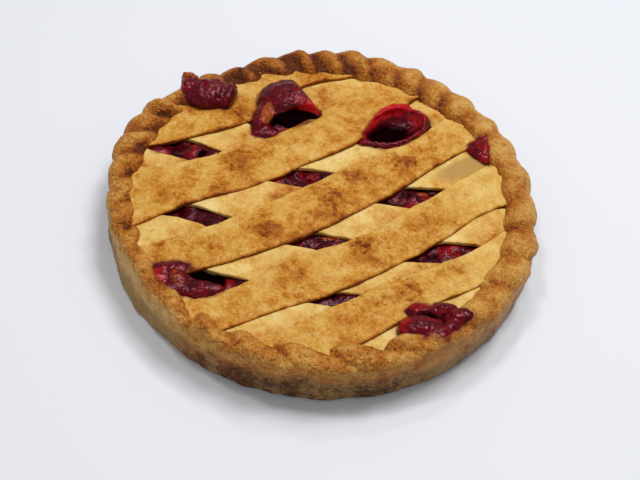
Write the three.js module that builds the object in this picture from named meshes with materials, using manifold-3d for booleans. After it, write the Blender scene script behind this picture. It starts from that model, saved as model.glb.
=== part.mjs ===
// A cherry pie, 20 cm across its rope-crimped rim.
//
// The frame is +Z up in millimetres, with the origin in the middle of the flat base that the
// pie rests on. The pieces are the crust (base, wall and crimped rim in one piece of pastry),
// the cherry filling, five lower and five upper lattice strips, and the large pieces of fruit
// that push up between the strips. Azimuths are measured from +X, counter-clockwise from above.

import * as THREE from 'three';
import { mergeVertices } from 'three/addons/utils/BufferGeometryUtils.js';
import Module from 'manifold-3d';

const wasm = await Module();
wasm.setup();

// ---- driving dimensions, mm ----
const GAP = 0.3; // clearance between two pieces of food that touch
const WELD = 1e-4; // vertices closer than this are one

const BASE_RADIUS = 95.2; // flat underside
const FOOT_RADIUS = 98; // outside of the wall at its foot
const FOOT_HEIGHT = 2; // height over which the wall's foot rounds in to the underside
const WALL_RADIUS = 98.4; // outside of the wall, half way up
const WALL_HEIGHT = 15; // height of that place
const RIM_FOOT_HEIGHT = 19; // where the rim starts to stand out from the wall
const RIM_RADIUS = 100; // mean outer radius of the crimped rim
const RIM_INNER_RADIUS = 85; // where the rim's inner foot meets the lattice, on average
const RIM_TOP = 28.6; // mean height of the crimp's crest
const RIM_BULGE_HEIGHT = 22.8; // height of the widest circle of the rim
const CAVITY_RADIUS = 88; // inside of the wall
const CAVITY_TAPER = 1.5; // the cavity is this much narrower at its floor
const CAVITY_SHOULDER = 16.5; // above this the inside closes in under the rim's foot
const PASTRY_BASE = 4.2; // thickness of the bottom crust

const LOBES = 32; // thumb crimps round the rim
const STEPS_PER_LOBE = 4;
const LOBE_DEPTH = 2.4; // how far a crimp stands out past its neighbouring hollow
const LOBE_HEIGHT = 1.8; // how much higher a crimp's ridge is than its hollow
const LOBE_TWIST = 2.6; // radians by which a ridge turns from its inner to its outer end
const LOBE_DRIFT = 1.3; // radians by which hand crimping wanders off an even pitch
const LOBE_JITTER = 0.8; // the same, over shorter stretches of the rim
const FRONT_FLATTENING = 1.4; // the rim is pressed lower along the front
const RIM_OFFSET = 4.5; // the rim is this much wider at the back than on average, and narrower in front
const OFFSET_START = 17; // the height from which the rim's inside shifts by that much
const OFFSET_END = 20; // the height by which it has shifted

const STRIP_THICKNESS = 2.2;
const LOWER_TOP = 21.4; // top of the lower strips at the rim
const CROWN = 2.2; // how much higher the lattice is in the middle
const LAYER_GAP = 0.39; // clearance between the lower strips and the upper ones
const SAG = 0.8; // how far an upper strip sinks between two lower ones
const SAG_OUTSIDE = 8; // the dip reaches its full depth this far off a lower strip
const SAG_INSIDE = -1; // and it starts here, less than 0 being off the strip
const EDGE_THINNING = 0.3; // share of its thickness that a strip loses at its rounded edges
const STRIP_REACH = 92; // half length of a strip before its ends are trimmed to the rim
const TRIM_RADIUS = 84.2; // the strips end here, at the foot of the rim
const TRIM_SIDES = 44;
const LOWER_SEGMENTS = [9, 2, 1]; // along, across and through
const UPPER_SEGMENTS = [16, 3, 1];
const FILLING_DROP = 1.3; // the filling lies this far below the tops of the lower strips
const FILLING_SHOULDER = 15.4; // above this the filling slopes in under the rim's foot
const FILLING_FOOT_RADIUS = 86; // the filling's radius on the bottom crust
const FILLING_RADIUS = 87.2; // and at its shoulder
const FILLING_SIDES = 28;

// A strip's two hand-cut edges are smooth curves through offsets from the pie's centre line,
// one every 30 mm along the strip.
const STATION_STEP = 30;
const UPPER_AZIMUTH = THREE.MathUtils.degToRad(38);
const UPPER_EDGES = [
  { far: [84, 84, 84, 84, 84, 84, 84], near: [66, 65, 58, 55, 64, 57, 50] },
  { far: [54, 51, 43.5, 41.5, 44, 50.5, 50.5], near: [23, 22.5, 16.5, 16, 16.5, 25, 30] },
  { far: [12, 7, 4.5, 5, 5.5, 6.5, 12], near: [-10, -16, -20.5, -21, -19, -14.5, -12] },
  { far: [-25, -28.5, -28.5, -33.5, -30.5, -27.5, -25], near: [-45, -47.5, -53, -54.5, -53, -50, -56] },
  { far: [-60, -58, -58.5, -60.5, -64, -62.5, -60], near: [-80, -80, -80, -79.5, -81.5, -79.5, -80] },
];
const LOWER_AZIMUTH = THREE.MathUtils.degToRad(-7);
const LOWER_EDGES = [
  { far: [88, 88, 88, 88, 88, 88, 88], near: [66, 70.5, 62, 47, 59, 50, 50] },
  { far: [35, 36, 30, 36, 36, 47, 44], near: [20, 13, 8, 10.5, 10.5, 15, 13] },
  { far: [4, 1, -3, -2, -3.5, 3, 11.5], near: [-27, -24.5, -29, -27, -27, -17, -14] },
  { far: [-40, -34, -39.5, -37.5, -36.5, -30, -24], near: [-60, -57, -60, -59, -55.5, -53.5, -50] },
  { far: [-66, -71, -70, -66.5, -64, -56.5, -52], near: [-88, -88, -88, -88, -88, -88, -88] },
];

// Large pieces of fruit: the middle, the half sizes, the turn about +Z, and the mouth of a
// split one: the angle by which it leans from the top towards the piece's own -Y, its half
// angle, and its depth as a share of the piece's size.
const FRUIT = [
  { name: 'cherry_rim_left', at: [-62, 54, 24.5], half: [13.5, 10, 8], turn: 14, lean: 0, mouth: 50, depth: 0.15 },
  { name: 'cherry_back', at: [-22.5, 50, 20], half: [15.5, 17.5, 12.5], turn: -12, lean: 55, mouth: 48, depth: 0.3 },
  { name: 'cherry_open', at: [31.5, 44.5, 20.5], half: [20.5, 13, 9.5], turn: 30, lean: 5, mouth: 70, depth: 0.75 },
  { name: 'cherry_right', at: [75.5, 37, 20.5], half: [7.5, 10, 6.5], turn: 18, lean: 0, mouth: 0, depth: 0 },
  { name: 'cherry_left', at: [-67, 15.5, 18.8], half: [12.5, 6, 5.2], turn: 6, lean: 0, mouth: 0, depth: 0 },
  { name: 'cherry_middle', at: [45, 4.2, 19], half: [6.2, 3.2, 4.2], turn: 14, lean: 0, mouth: 0, depth: 0 },
  { name: 'cherry_front_left', at: [-53, -62, 19.5], half: [18, 8.5, 6.5], turn: 0, lean: -20, mouth: 56, depth: 0.4 },
  { name: 'cherry_front_right_1', at: [47.5, -70, 21], half: [11, 8.5, 7.6], turn: 8, lean: 0, mouth: 0, depth: 0 },
  { name: 'cherry_front_right_2', at: [58.5, -71.5, 22], half: [12, 6.2, 7], turn: 46, lean: 0, mouth: 0, depth: 0 },
];
const FRUIT_SEGMENTS = [12, 7];
const FRUIT_LUMP = 0.05; // unevenness of the fruit, as a share of its size

const GOLDEN_PASTRY = { color: 0xc68f50, roughness: 0.6, metalness: 0 };
const PALE_PASTRY = { color: 0xe2c189, roughness: 0.65, metalness: 0 };
const JELLY = { color: 0x4d0a10, roughness: 0.15, metalness: 0 };
const CHERRY_SKIN = { color: 0x8f1c1c, roughness: 0.2, metalness: 0 };

// ---- solids ----

// Turns a closed geometry into a solid, leaving out the flat triangles at a pole.
function toSolid(geometry) {
  geometry.deleteAttribute('normal');
  geometry.deleteAttribute('uv');
  const merged = mergeVertices(geometry, WELD);
  const corners = merged.getIndex().array;
  const triangles = [];
  for (let i = 0; i < corners.length; i += 3) {
    const [a, b, c] = corners.slice(i, i + 3);
    if (a !== b && b !== c && c !== a) {
      triangles.push(a, b, c);
    }
  }
  return new wasm.Manifold(
    new wasm.Mesh({
      numProp: 3,
      vertProperties: Float32Array.from(merged.getAttribute('position').array),
      triVerts: Uint32Array.from(triangles),
    }),
  );
}

// Keeps the largest of the lumps that a cut leaves.
function largestLump(solid) {
  const lumps = solid.decompose();
  return lumps.reduce((best, lump) => (lump.volume() > best.volume() ? lump : best));
}

function cutBy(solid, tools) {
  return largestLump(tools.reduce((rest, tool) => rest.subtract(tool), solid));
}

function toMesh(name, solid, look) {
  const { vertProperties, triVerts } = solid.getMesh();
  const geometry = new THREE.BufferGeometry();
  geometry.setAttribute('position', new THREE.BufferAttribute(vertProperties, 3));
  geometry.setIndex(new THREE.BufferAttribute(triVerts, 1));
  geometry.computeVertexNormals();
  const mesh = new THREE.Mesh(geometry, new THREE.MeshStandardMaterial(look));
  mesh.name = name;
  return mesh;
}

// Moves every vertex of a geometry by a function of its place.
function reshape(geometry, place) {
  const position = geometry.getAttribute('position');
  const point = new THREE.Vector3();
  for (let i = 0; i < position.count; i += 1) {
    point.fromBufferAttribute(position, i);
    place(point, i);
    position.setXYZ(i, point.x, point.y, point.z);
  }
  return geometry;
}

// ---- crust ----

// The outline of the crust from the middle of its underside, up the outside, over the crimp
// and back along the inside. "ridge" is how strongly a point follows the crimps, and "along"
// is how far round the crimp's bulge it lies, from 0 at the outer foot to 1 at the inner foot.
function crustOutline(grow) {
  const inner = RIM_INNER_RADIUS - grow;
  const bulge = RIM_RADIUS - RIM_INNER_RADIUS;
  return [
    { r: 0, z: 0, ridge: 0, along: 0 },
    { r: BASE_RADIUS, z: 0, ridge: 0, along: 0 },
    { r: FOOT_RADIUS, z: FOOT_HEIGHT, ridge: 0, along: 0 },
    { r: WALL_RADIUS, z: WALL_HEIGHT, ridge: 0.15, along: 0 },
    { r: RIM_RADIUS - 0.8, z: RIM_FOOT_HEIGHT, ridge: 0.7, along: 0.1 },
    { r: RIM_RADIUS, z: RIM_BULGE_HEIGHT, ridge: 1, along: 0.2 },
    { r: RIM_RADIUS - 0.12 * bulge, z: RIM_TOP - 2.2, ridge: 1, along: 0.35 },
    { r: RIM_RADIUS - 0.36 * bulge, z: RIM_TOP, ridge: 1, along: 0.5 },
    { r: inner + 0.36 * bulge, z: RIM_TOP - 0.4 + grow, ridge: 1, along: 0.65 },
    { r: inner + 0.12 * bulge, z: RIM_TOP - 3.2 + grow, ridge: 0.9, along: 0.8 },
    { r: inner, z: LOWER_TOP + 1.6, ridge: 0.4, along: 0.95 },
    { r: inner + 1.5, z: LOWER_TOP - 1.4 - grow, ridge: 0.1, along: 1 },
    { r: CAVITY_RADIUS - grow, z: CAVITY_SHOULDER - grow, ridge: 0, along: 1 },
    { r: CAVITY_RADIUS - CAVITY_TAPER - grow, z: PASTRY_BASE + grow, ridge: 0, along: 1 },
    { r: 0, z: PASTRY_BASE + grow, ridge: 0, along: 1 },
  ];
}

// The crust, its inside moved in by "grow" where it cuts room out of its neighbours.
function crustSolid(grow) {
  const outline = crustOutline(grow);
  const points = outline.map(({ r, z }) => new THREE.Vector2(r, z));
  const lathe = new THREE.LatheGeometry(points, LOBES * STEPS_PER_LOBE);
  lathe.rotateX(Math.PI / 2);
  reshape(lathe, (point, i) => {
    const { ridge, along, z } = outline[i % outline.length];
    const azimuth = Math.atan2(point.y, point.x);
    const drift = LOBE_DRIFT * Math.sin(2 * azimuth + 0.7) + LOBE_JITTER * Math.sin(5 * azimuth);
    const wave = Math.cos(LOBES * azimuth + drift + LOBE_TWIST * along);
    const front = Math.max(0, -Math.sin(azimuth)) ** 2;
    const reach = Math.hypot(point.x, point.y);
    const high = THREE.MathUtils.smoothstep(z, LOWER_TOP, RIM_TOP);
    const innerSide = THREE.MathUtils.smoothstep(along, 0.5, 0.95);
    const inward = innerSide * THREE.MathUtils.smoothstep(z, OFFSET_START, OFFSET_END);
    const out = 0.5 * LOBE_DEPTH * ridge * wave * (1 - 1.2 * along);
    if (reach > 1) {
      point.x *= (reach + out) / reach;
      point.y *= (reach + out) / reach;
    }
    point.y -= RIM_OFFSET * inward;
    point.z = z + high * (0.5 * LOBE_HEIGHT * wave - FRONT_FLATTENING * front);
  });
  return toSolid(lathe);
}

// ---- lattice ----

// The crown of the lattice over a point.
function crownAt(x, y) {
  const share = Math.min(1, (x * x + y * y) / RIM_INNER_RADIUS ** 2);
  return CROWN * (1 - share);
}

// A smooth curve through evenly spaced offsets, at a distance along the strip.
function edgeAt(offsets, along) {
  const last = offsets.length - 1;
  const station = along / STATION_STEP + last / 2;
  const from = THREE.MathUtils.clamp(Math.floor(station), 0, last - 1);
  const [before, start, end, after] = [from - 1, from, from + 1, from + 2].map(
    (i) => offsets[THREE.MathUtils.clamp(i, 0, last)],
  );
  const t = THREE.MathUtils.clamp(station - from, 0, 1);
  const bend = 2 * before - 5 * start + 4 * end - after;
  const twist = 3 * start - before - 3 * end + after;
  return 0.5 * (2 * start + t * (end - before + t * (bend + t * twist)));
}

// How much of a lower strip lies under a point, from 0 to 1.
function lowerCover(x, y) {
  const along = x * Math.cos(LOWER_AZIMUTH) + y * Math.sin(LOWER_AZIMUTH);
  const across = y * Math.cos(LOWER_AZIMUTH) - x * Math.sin(LOWER_AZIMUTH);
  const covers = LOWER_EDGES.map(({ near, far }) => {
    const inside = Math.min(across - edgeAt(near, along), edgeAt(far, along) - across);
    return THREE.MathUtils.smoothstep(inside, -SAG_OUTSIDE, SAG_INSIDE);
  });
  return Math.max(...covers);
}

function lowerMiddle(x, y) {
  return LOWER_TOP - STRIP_THICKNESS / 2 + crownAt(x, y);
}

function upperMiddle(x, y) {
  const rest = LOWER_TOP + LAYER_GAP + STRIP_THICKNESS / 2 + crownAt(x, y);
  return rest - SAG * (1 - lowerCover(x, y));
}

// One strip of the lattice, from a block whose sides follow the strip's two cut edges.
function stripSolid({ near, far }, { azimuth, middleAt, segments }, grow) {
  const block = new THREE.BoxGeometry(1, 1, 1, ...segments);
  reshape(block, (point) => {
    const along = 2 * STRIP_REACH * point.x;
    const low = edgeAt(near, along) - grow;
    const high = edgeAt(far, along) + grow;
    const across = THREE.MathUtils.lerp(low, high, point.y + 0.5);
    const thinning = 1 - EDGE_THINNING * (2 * Math.abs(point.y)) ** 4;
    const lift = point.z * (STRIP_THICKNESS * thinning + 2 * grow);
    const x = along * Math.cos(azimuth) - across * Math.sin(azimuth);
    const y = along * Math.sin(azimuth) + across * Math.cos(azimuth);
    point.set(x, y, middleAt(x, y) + lift);
  });
  return toSolid(block);
}

const LOWER_LAYER = { azimuth: LOWER_AZIMUTH, middleAt: lowerMiddle, segments: LOWER_SEGMENTS };
const UPPER_LAYER = { azimuth: UPPER_AZIMUTH, middleAt: upperMiddle, segments: UPPER_SEGMENTS };

// The round of pastry that the strips are trimmed to.
function trimRound() {
  const disc = new THREE.CylinderGeometry(TRIM_RADIUS, TRIM_RADIUS, 2 * RIM_TOP, TRIM_SIDES);
  disc.rotateX(Math.PI / 2);
  disc.translate(0, -RIM_OFFSET, 0);
  return toSolid(disc);
}

// ---- fruit ----

// A lumpy piece of fruit, with a hollow where it has split.
function fruitSolid({ at, half, turn, lean, mouth, depth }, grow) {
  const ball = new THREE.SphereGeometry(1, ...FRUIT_SEGMENTS);
  ball.rotateX(Math.PI / 2);
  const tilt = THREE.MathUtils.degToRad(lean);
  const middle = new THREE.Vector3(0, -Math.sin(tilt), Math.cos(tilt));
  const opening = THREE.MathUtils.degToRad(mouth);
  reshape(ball, (point) => {
    const fromMiddle = point.angleTo(middle);
    const azimuth = Math.atan2(point.y, point.x);
    const level = Math.sqrt(Math.max(0, 1 - point.z ** 2));
    const lump = 1 + FRUIT_LUMP * Math.sin(3 * azimuth + at[0]) * level;
    const hollow = fromMiddle < opening ? depth * (1 - (fromMiddle / opening) ** 2) : 0;
    point.multiplyScalar(1 - hollow);
    point.x *= lump * (half[0] + grow);
    point.y *= lump * (half[1] + grow);
    point.z *= half[2] + grow;
  });
  ball.rotateZ(THREE.MathUtils.degToRad(turn));
  ball.translate(...at);
  return toSolid(ball);
}

// ---- filling ----

// The filling as poured: a crowned disc that fills the crust, sloping in under the rim's foot.
function pouredFilling() {
  const top = LOWER_TOP - FILLING_DROP;
  const points = [
    new THREE.Vector2(0, PASTRY_BASE + GAP),
    new THREE.Vector2(FILLING_FOOT_RADIUS, PASTRY_BASE + GAP),
    new THREE.Vector2(FILLING_RADIUS, FILLING_SHOULDER),
  ];
  for (const share of [1, 0.6, 0]) {
    const reach = share * (TRIM_RADIUS - 0.5);
    points.push(new THREE.Vector2(reach, top + crownAt(reach, 0)));
  }
  const lathe = new THREE.LatheGeometry(points, FILLING_SIDES);
  lathe.rotateX(Math.PI / 2);
  reshape(lathe, (point) => {
    point.y -= RIM_OFFSET * THREE.MathUtils.smoothstep(point.z, FILLING_SHOULDER, top);
  });
  return toSolid(lathe);
}

// ---- the pie ----

const crust = crustSolid(0);
const crustRoom = crustSolid(GAP);

const fruits = [];
for (const piece of FRUIT) {
  const rooms = fruits.map(({ room }) => room);
  const solid = cutBy(fruitSolid(piece, 0), [crustRoom, ...rooms]);
  fruits.push({ name: piece.name, solid, room: fruitSolid(piece, GAP) });
}
const fruitRooms = fruits.map(({ room }) => room);

const round = trimRound();

// Trims each strip of a layer to the round and cuts it back from what it lies against.
function cutLayer(edgePairs, layer, rooms) {
  return edgePairs.map((edges) => ({
    solid: cutBy(stripSolid(edges, layer, 0).intersect(round), [...fruitRooms, ...rooms]),
    room: stripSolid(edges, layer, GAP),
  }));
}

const lowerStrips = cutLayer(LOWER_EDGES, LOWER_LAYER, []);
const lowerRooms = lowerStrips.map(({ room }) => room);
const upperStrips = cutLayer(UPPER_EDGES, UPPER_LAYER, lowerRooms);
const filling = cutBy(pouredFilling(), [...fruitRooms, ...lowerRooms]);

const pie = new THREE.Group();
pie.add(toMesh('crust', crust, GOLDEN_PASTRY));
pie.add(toMesh('cherry_filling', filling, JELLY));
lowerStrips.forEach(({ solid }, i) => pie.add(toMesh(`lower_strip_${i + 1}`, solid, PALE_PASTRY)));
upperStrips.forEach(({ solid }, i) => pie.add(toMesh(`upper_strip_${i + 1}`, solid, GOLDEN_PASTRY)));
fruits.forEach(({ name, solid }) => pie.add(toMesh(name, solid, CHERRY_SKIN)));

export default pie;
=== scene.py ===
"""A lattice-topped cherry pie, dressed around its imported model.

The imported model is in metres, +Z up, with the origin in the middle of the pie's flat base.
Lengths in this file are in millimetres and become metres where a mesh is written. Azimuths
are measured in degrees from +X, counter-clockwise seen from above.
"""

import logging
import math
from contextlib import contextmanager
from dataclasses import dataclass, field
from enum import Enum
from itertools import product
from typing import Callable, Iterator, Mapping, Sequence

import bmesh
import bpy
import numpy as np
from mathutils import Matrix, Vector


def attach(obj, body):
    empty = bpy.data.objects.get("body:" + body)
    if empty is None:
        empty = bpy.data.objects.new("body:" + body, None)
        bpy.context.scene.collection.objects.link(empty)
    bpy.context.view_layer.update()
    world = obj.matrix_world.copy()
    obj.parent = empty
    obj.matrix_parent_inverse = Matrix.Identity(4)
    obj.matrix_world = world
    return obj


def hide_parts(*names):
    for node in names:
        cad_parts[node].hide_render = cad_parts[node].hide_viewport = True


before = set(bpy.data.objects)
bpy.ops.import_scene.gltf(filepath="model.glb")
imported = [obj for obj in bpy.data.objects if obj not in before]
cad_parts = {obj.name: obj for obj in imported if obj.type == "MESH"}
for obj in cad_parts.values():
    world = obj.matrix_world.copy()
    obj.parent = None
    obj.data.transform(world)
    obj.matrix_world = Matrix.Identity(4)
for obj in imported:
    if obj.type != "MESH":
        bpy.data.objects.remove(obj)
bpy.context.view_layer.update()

LOG = logging.getLogger("cherry_pie")
MM = 0.001
TOUCHING = 0.001 * MM

Points = np.ndarray
Colour = tuple[float, float, float]
Rows = tuple[tuple[float, float, float, float], ...]


class Slot(Enum):
    """The record's material slots."""

    CRUST = "golden_crust"
    GOLDEN = "golden_pastry"
    PALE = "pale_pastry"
    JELLY = "cherry_jelly"
    CHERRY = "cherry_skin"


# ---------------------------------------------------------------- numbers


def smoothstep(value: Points, low: float, high: float) -> Points:
    """Rise smoothly from 0 at low to 1 at high.

    Args:
        value: Numbers to map.
        low: Where the rise starts.
        high: Where it ends.

    Returns:
        Numbers from 0 to 1.
    """
    share = np.clip((value - low) / (high - low), 0.0, 1.0)
    return share * share * (3.0 - 2.0 * share)


def falling(value: Points, low: float, high: float) -> Points:
    """Fall smoothly from 1 at low to 0 at high."""
    return 1.0 - smoothstep(value, low, high)


def window(value: Points, start: float, full: float, fade: float, end: float) -> Points:
    """Rise from 0 at start to 1 at full, then fall from 1 at fade to 0 at end."""
    return smoothstep(value, start, full) * falling(value, fade, end)


def blend(low: Points, high: Points, share: Points) -> Points:
    """Mix two numbers or arrays by a share from 0 to 1."""
    return low + (high - low) * share


def round_curve(azimuth: Points, rows: Sequence[tuple[float, float]]) -> Points:
    """Read a smooth closed curve through a few values given round the pie.

    Args:
        azimuth: Azimuths in degrees, from 0 to 360.
        rows: Pairs of azimuth and value, in rising order of azimuth.

    Returns:
        The values at the azimuths.
    """
    places = np.array([row[0] for row in rows])
    values = np.array([row[1] for row in rows])
    places = np.concatenate([places, [places[0] + 360.0]])
    values = np.concatenate([values, [values[0]]])
    turned = np.where(azimuth < places[0], azimuth + 360.0, azimuth)
    index = np.clip(np.searchsorted(places, turned, side="right") - 1, 0, len(places) - 2)
    share = (turned - places[index]) / (places[index + 1] - places[index])
    share = share * share * (3.0 - 2.0 * share)
    return blend(values[index], values[index + 1], share)


@dataclass(frozen=True)
class Grain:
    """One pattern of bumps: its strength, its size in millimetres and its shift in the field."""

    strength: float
    size: float
    shift: float = 0.0


class Noise:
    """A smooth random field in space that is the same on every run."""

    SIDE = 48
    START = 0.37

    def __init__(self, seed: int) -> None:
        """Fill the table of heights that the field runs through.

        Args:
            seed: Which field this is.
        """
        self.table = np.random.default_rng(seed).uniform(-1.0, 1.0, (self.SIDE,) * 3)

    def at(self, points: Points, size: float, shift: float = 0.0) -> Points:
        """Read the field.

        Args:
            points: An n by 3 array.
            size: The distance from one bump to the next.
            shift: How far off the points the field is read, which gives another pattern.

        Returns:
            One number from -1 to 1 for each point.
        """
        cell = (points + shift) / size + self.START * self.SIDE
        corner = np.floor(cell).astype(np.int64)
        share = cell - corner
        share = share * share * (3.0 - 2.0 * share)
        total = np.zeros(len(points))
        for step in product((0, 1), repeat=3):
            weight = np.prod(np.where(step, share, 1.0 - share), axis=1)
            index = (corner + step) % self.SIDE
            total += weight * self.table[index[:, 0], index[:, 1], index[:, 2]]
        return total

    def of(self, points: Points, *grains: Grain) -> Points:
        """Add up one or more patterns of bumps at the points."""
        return sum(grain.strength * self.at(points, grain.size, grain.shift) for grain in grains)


# ---------------------------------------------------------------- modelling


def deselect_all() -> None:
    """Leave object mode with nothing selected."""
    if bpy.context.object and bpy.context.object.mode != "OBJECT":
        bpy.ops.object.mode_set(mode="OBJECT")
    bpy.ops.object.select_all(action="DESELECT")


def take(piece: bpy.types.Object) -> None:
    """Make a piece the only one selected, and active."""
    deselect_all()
    piece.select_set(True)
    bpy.context.view_layer.objects.active = piece


@contextmanager
def editing(piece: bpy.types.Object) -> Iterator[None]:
    """Hold a piece in edit mode with everything on it selected.

    Args:
        piece: The piece to edit.
    """
    take(piece)
    bpy.ops.object.mode_set(mode="EDIT")
    bpy.ops.mesh.select_all(action="SELECT")
    yield
    bpy.ops.object.mode_set(mode="OBJECT")


def named(name: str) -> bpy.types.Object:
    """Name the primitive that was just added, and return it."""
    piece = bpy.context.object
    piece.name = name
    piece.data.name = name
    return piece


def settle(piece: bpy.types.Object) -> None:
    """Put a piece's place, turn and size into its mesh."""
    take(piece)
    bpy.ops.object.transform_apply(location=True, rotation=True, scale=True)


def modify(piece: bpy.types.Object, kind: str, **settings: object) -> None:
    """Add a modifier to a piece and apply it.

    Args:
        piece: The piece.
        kind: The modifier's type.
        **settings: Its settings.
    """
    take(piece)
    modifier = piece.modifiers.new(kind.lower(), kind)
    for name, value in settings.items():
        setattr(modifier, name, value)
    bpy.ops.object.modifier_apply(modifier=modifier.name)


def read_points(piece: bpy.types.Object) -> Points:
    """Read a piece's vertices, in millimetres."""
    flat = np.empty(len(piece.data.vertices) * 3)
    piece.data.vertices.foreach_get("co", flat)
    return flat.reshape(-1, 3) / MM


def write_points(piece: bpy.types.Object, points: Points) -> None:
    """Move a piece's vertices to places given in millimetres."""
    piece.data.vertices.foreach_set("co", (points * MM).ravel())
    piece.data.update()


def write_marks(piece: bpy.types.Object, marks: Mapping[str, Points]) -> None:
    """Store numbers from 0 to 1 for each vertex, which the finishes read by name.

    Args:
        piece: The piece.
        marks: One number for each vertex, under each name.
    """
    for name, values in marks.items():
        mark = piece.data.attributes.new(name, "FLOAT", "POINT")
        mark.data.foreach_set("value", np.clip(values, 0.0, 1.0).astype(np.float32))


def read_mark(piece: bpy.types.Object, name: str) -> Points:
    """Read back one number for each vertex."""
    values = np.empty(len(piece.data.vertices), dtype=np.float32)
    piece.data.attributes[name].data.foreach_get("value", values)
    return values


def coat(piece: bpy.types.Object, finish: bpy.types.Material) -> None:
    """Give a piece its finish and shade it smooth."""
    piece.data.materials.append(finish)
    take(piece)
    bpy.ops.object.shade_smooth()


def turned(name: str, outline: Points, coarse: int, cuts: int) -> bpy.types.Object:
    """Turn an outline about the pie's axis into a closed shell.

    Args:
        name: The piece's name.
        outline: Radii and heights in millimetres, from the axis back to the axis.
        coarse: How many steps the spin takes.
        cuts: How many times each step is then cut again.

    Returns:
        The shell; "share" marks how far along the outline each vertex lies, from 0 to 1.
    """
    deselect_all()
    bpy.ops.mesh.primitive_circle_add(vertices=len(outline), radius=1.0, fill_type="NOTHING")
    piece = named(name)
    write_marks(piece, {"share": np.linspace(0.0, 1.0, len(outline))})
    write_points(piece, np.column_stack([outline[:, 0], np.zeros(len(outline)), outline[:, 1]]))
    with editing(piece):
        bpy.ops.mesh.spin(steps=coarse, angle=2.0 * math.pi, center=(0, 0, 0), axis=(0, 0, 1))
        bpy.ops.mesh.select_all(action="SELECT")
        bpy.ops.mesh.remove_doubles(threshold=TOUCHING)
        bpy.ops.mesh.delete_loose(use_verts=True, use_edges=True, use_faces=False)
        select_rings(piece)
        bpy.ops.mesh.subdivide(number_cuts=cuts)
        bpy.ops.mesh.select_all(action="SELECT")
        bpy.ops.mesh.normals_make_consistent(inside=False)
    return piece


def select_rings(piece: bpy.types.Object) -> None:
    """Select only the edges that run round the pie's axis, in edit mode."""
    shell = bmesh.from_edit_mesh(piece.data)
    for edge in shell.edges:
        first, second = (vertex.co for vertex in edge.verts)
        level = abs(first.z - second.z) < TOUCHING
        edge.select_set(level and abs(first.xy.length - second.xy.length) < TOUCHING)
    bmesh.update_edit_mesh(piece.data)


def azimuth_of(x: Points, y: Points) -> Points:
    """The azimuth of each point, from 0 to 360 degrees."""
    return np.degrees(np.arctan2(y, x)) % 360.0


# ---------------------------------------------------------------- shader maths


class Value:
    """A shader socket that works in Python sums."""

    def __init__(self, recipe: "Recipe", socket: bpy.types.NodeSocket) -> None:
        """Wrap a socket of a recipe's node."""
        self.recipe = recipe
        self.socket = socket

    def _sum(self, operation: str, first: object, second: object) -> "Value":
        """Add a Math node for one sum of two values."""
        node = self.recipe.node("ShaderNodeMath", {"operation": operation}, {0: first, 1: second})
        return Value(self.recipe, node.outputs[0])

    def __add__(self, other: object) -> "Value":
        """Self plus other."""
        return self._sum("ADD", self, other)

    __radd__ = __add__

    def __sub__(self, other: object) -> "Value":
        """Self minus other."""
        return self._sum("SUBTRACT", self, other)

    def __rsub__(self, other: object) -> "Value":
        """Other minus self."""
        return self._sum("SUBTRACT", other, self)

    def __mul__(self, other: object) -> "Value":
        """Self times other."""
        return self._sum("MULTIPLY", self, other)

    __rmul__ = __mul__

    def span(self, low: float, high: float) -> "Value":
        """Rise smoothly from 0 where self is low to 1 where it is high."""
        node = self.recipe.node(
            "ShaderNodeMapRange",
            {"interpolation_type": "SMOOTHSTEP"},
            {"Value": self, "From Min": low, "From Max": high},
        )
        return Value(self.recipe, node.outputs[0])


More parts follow.
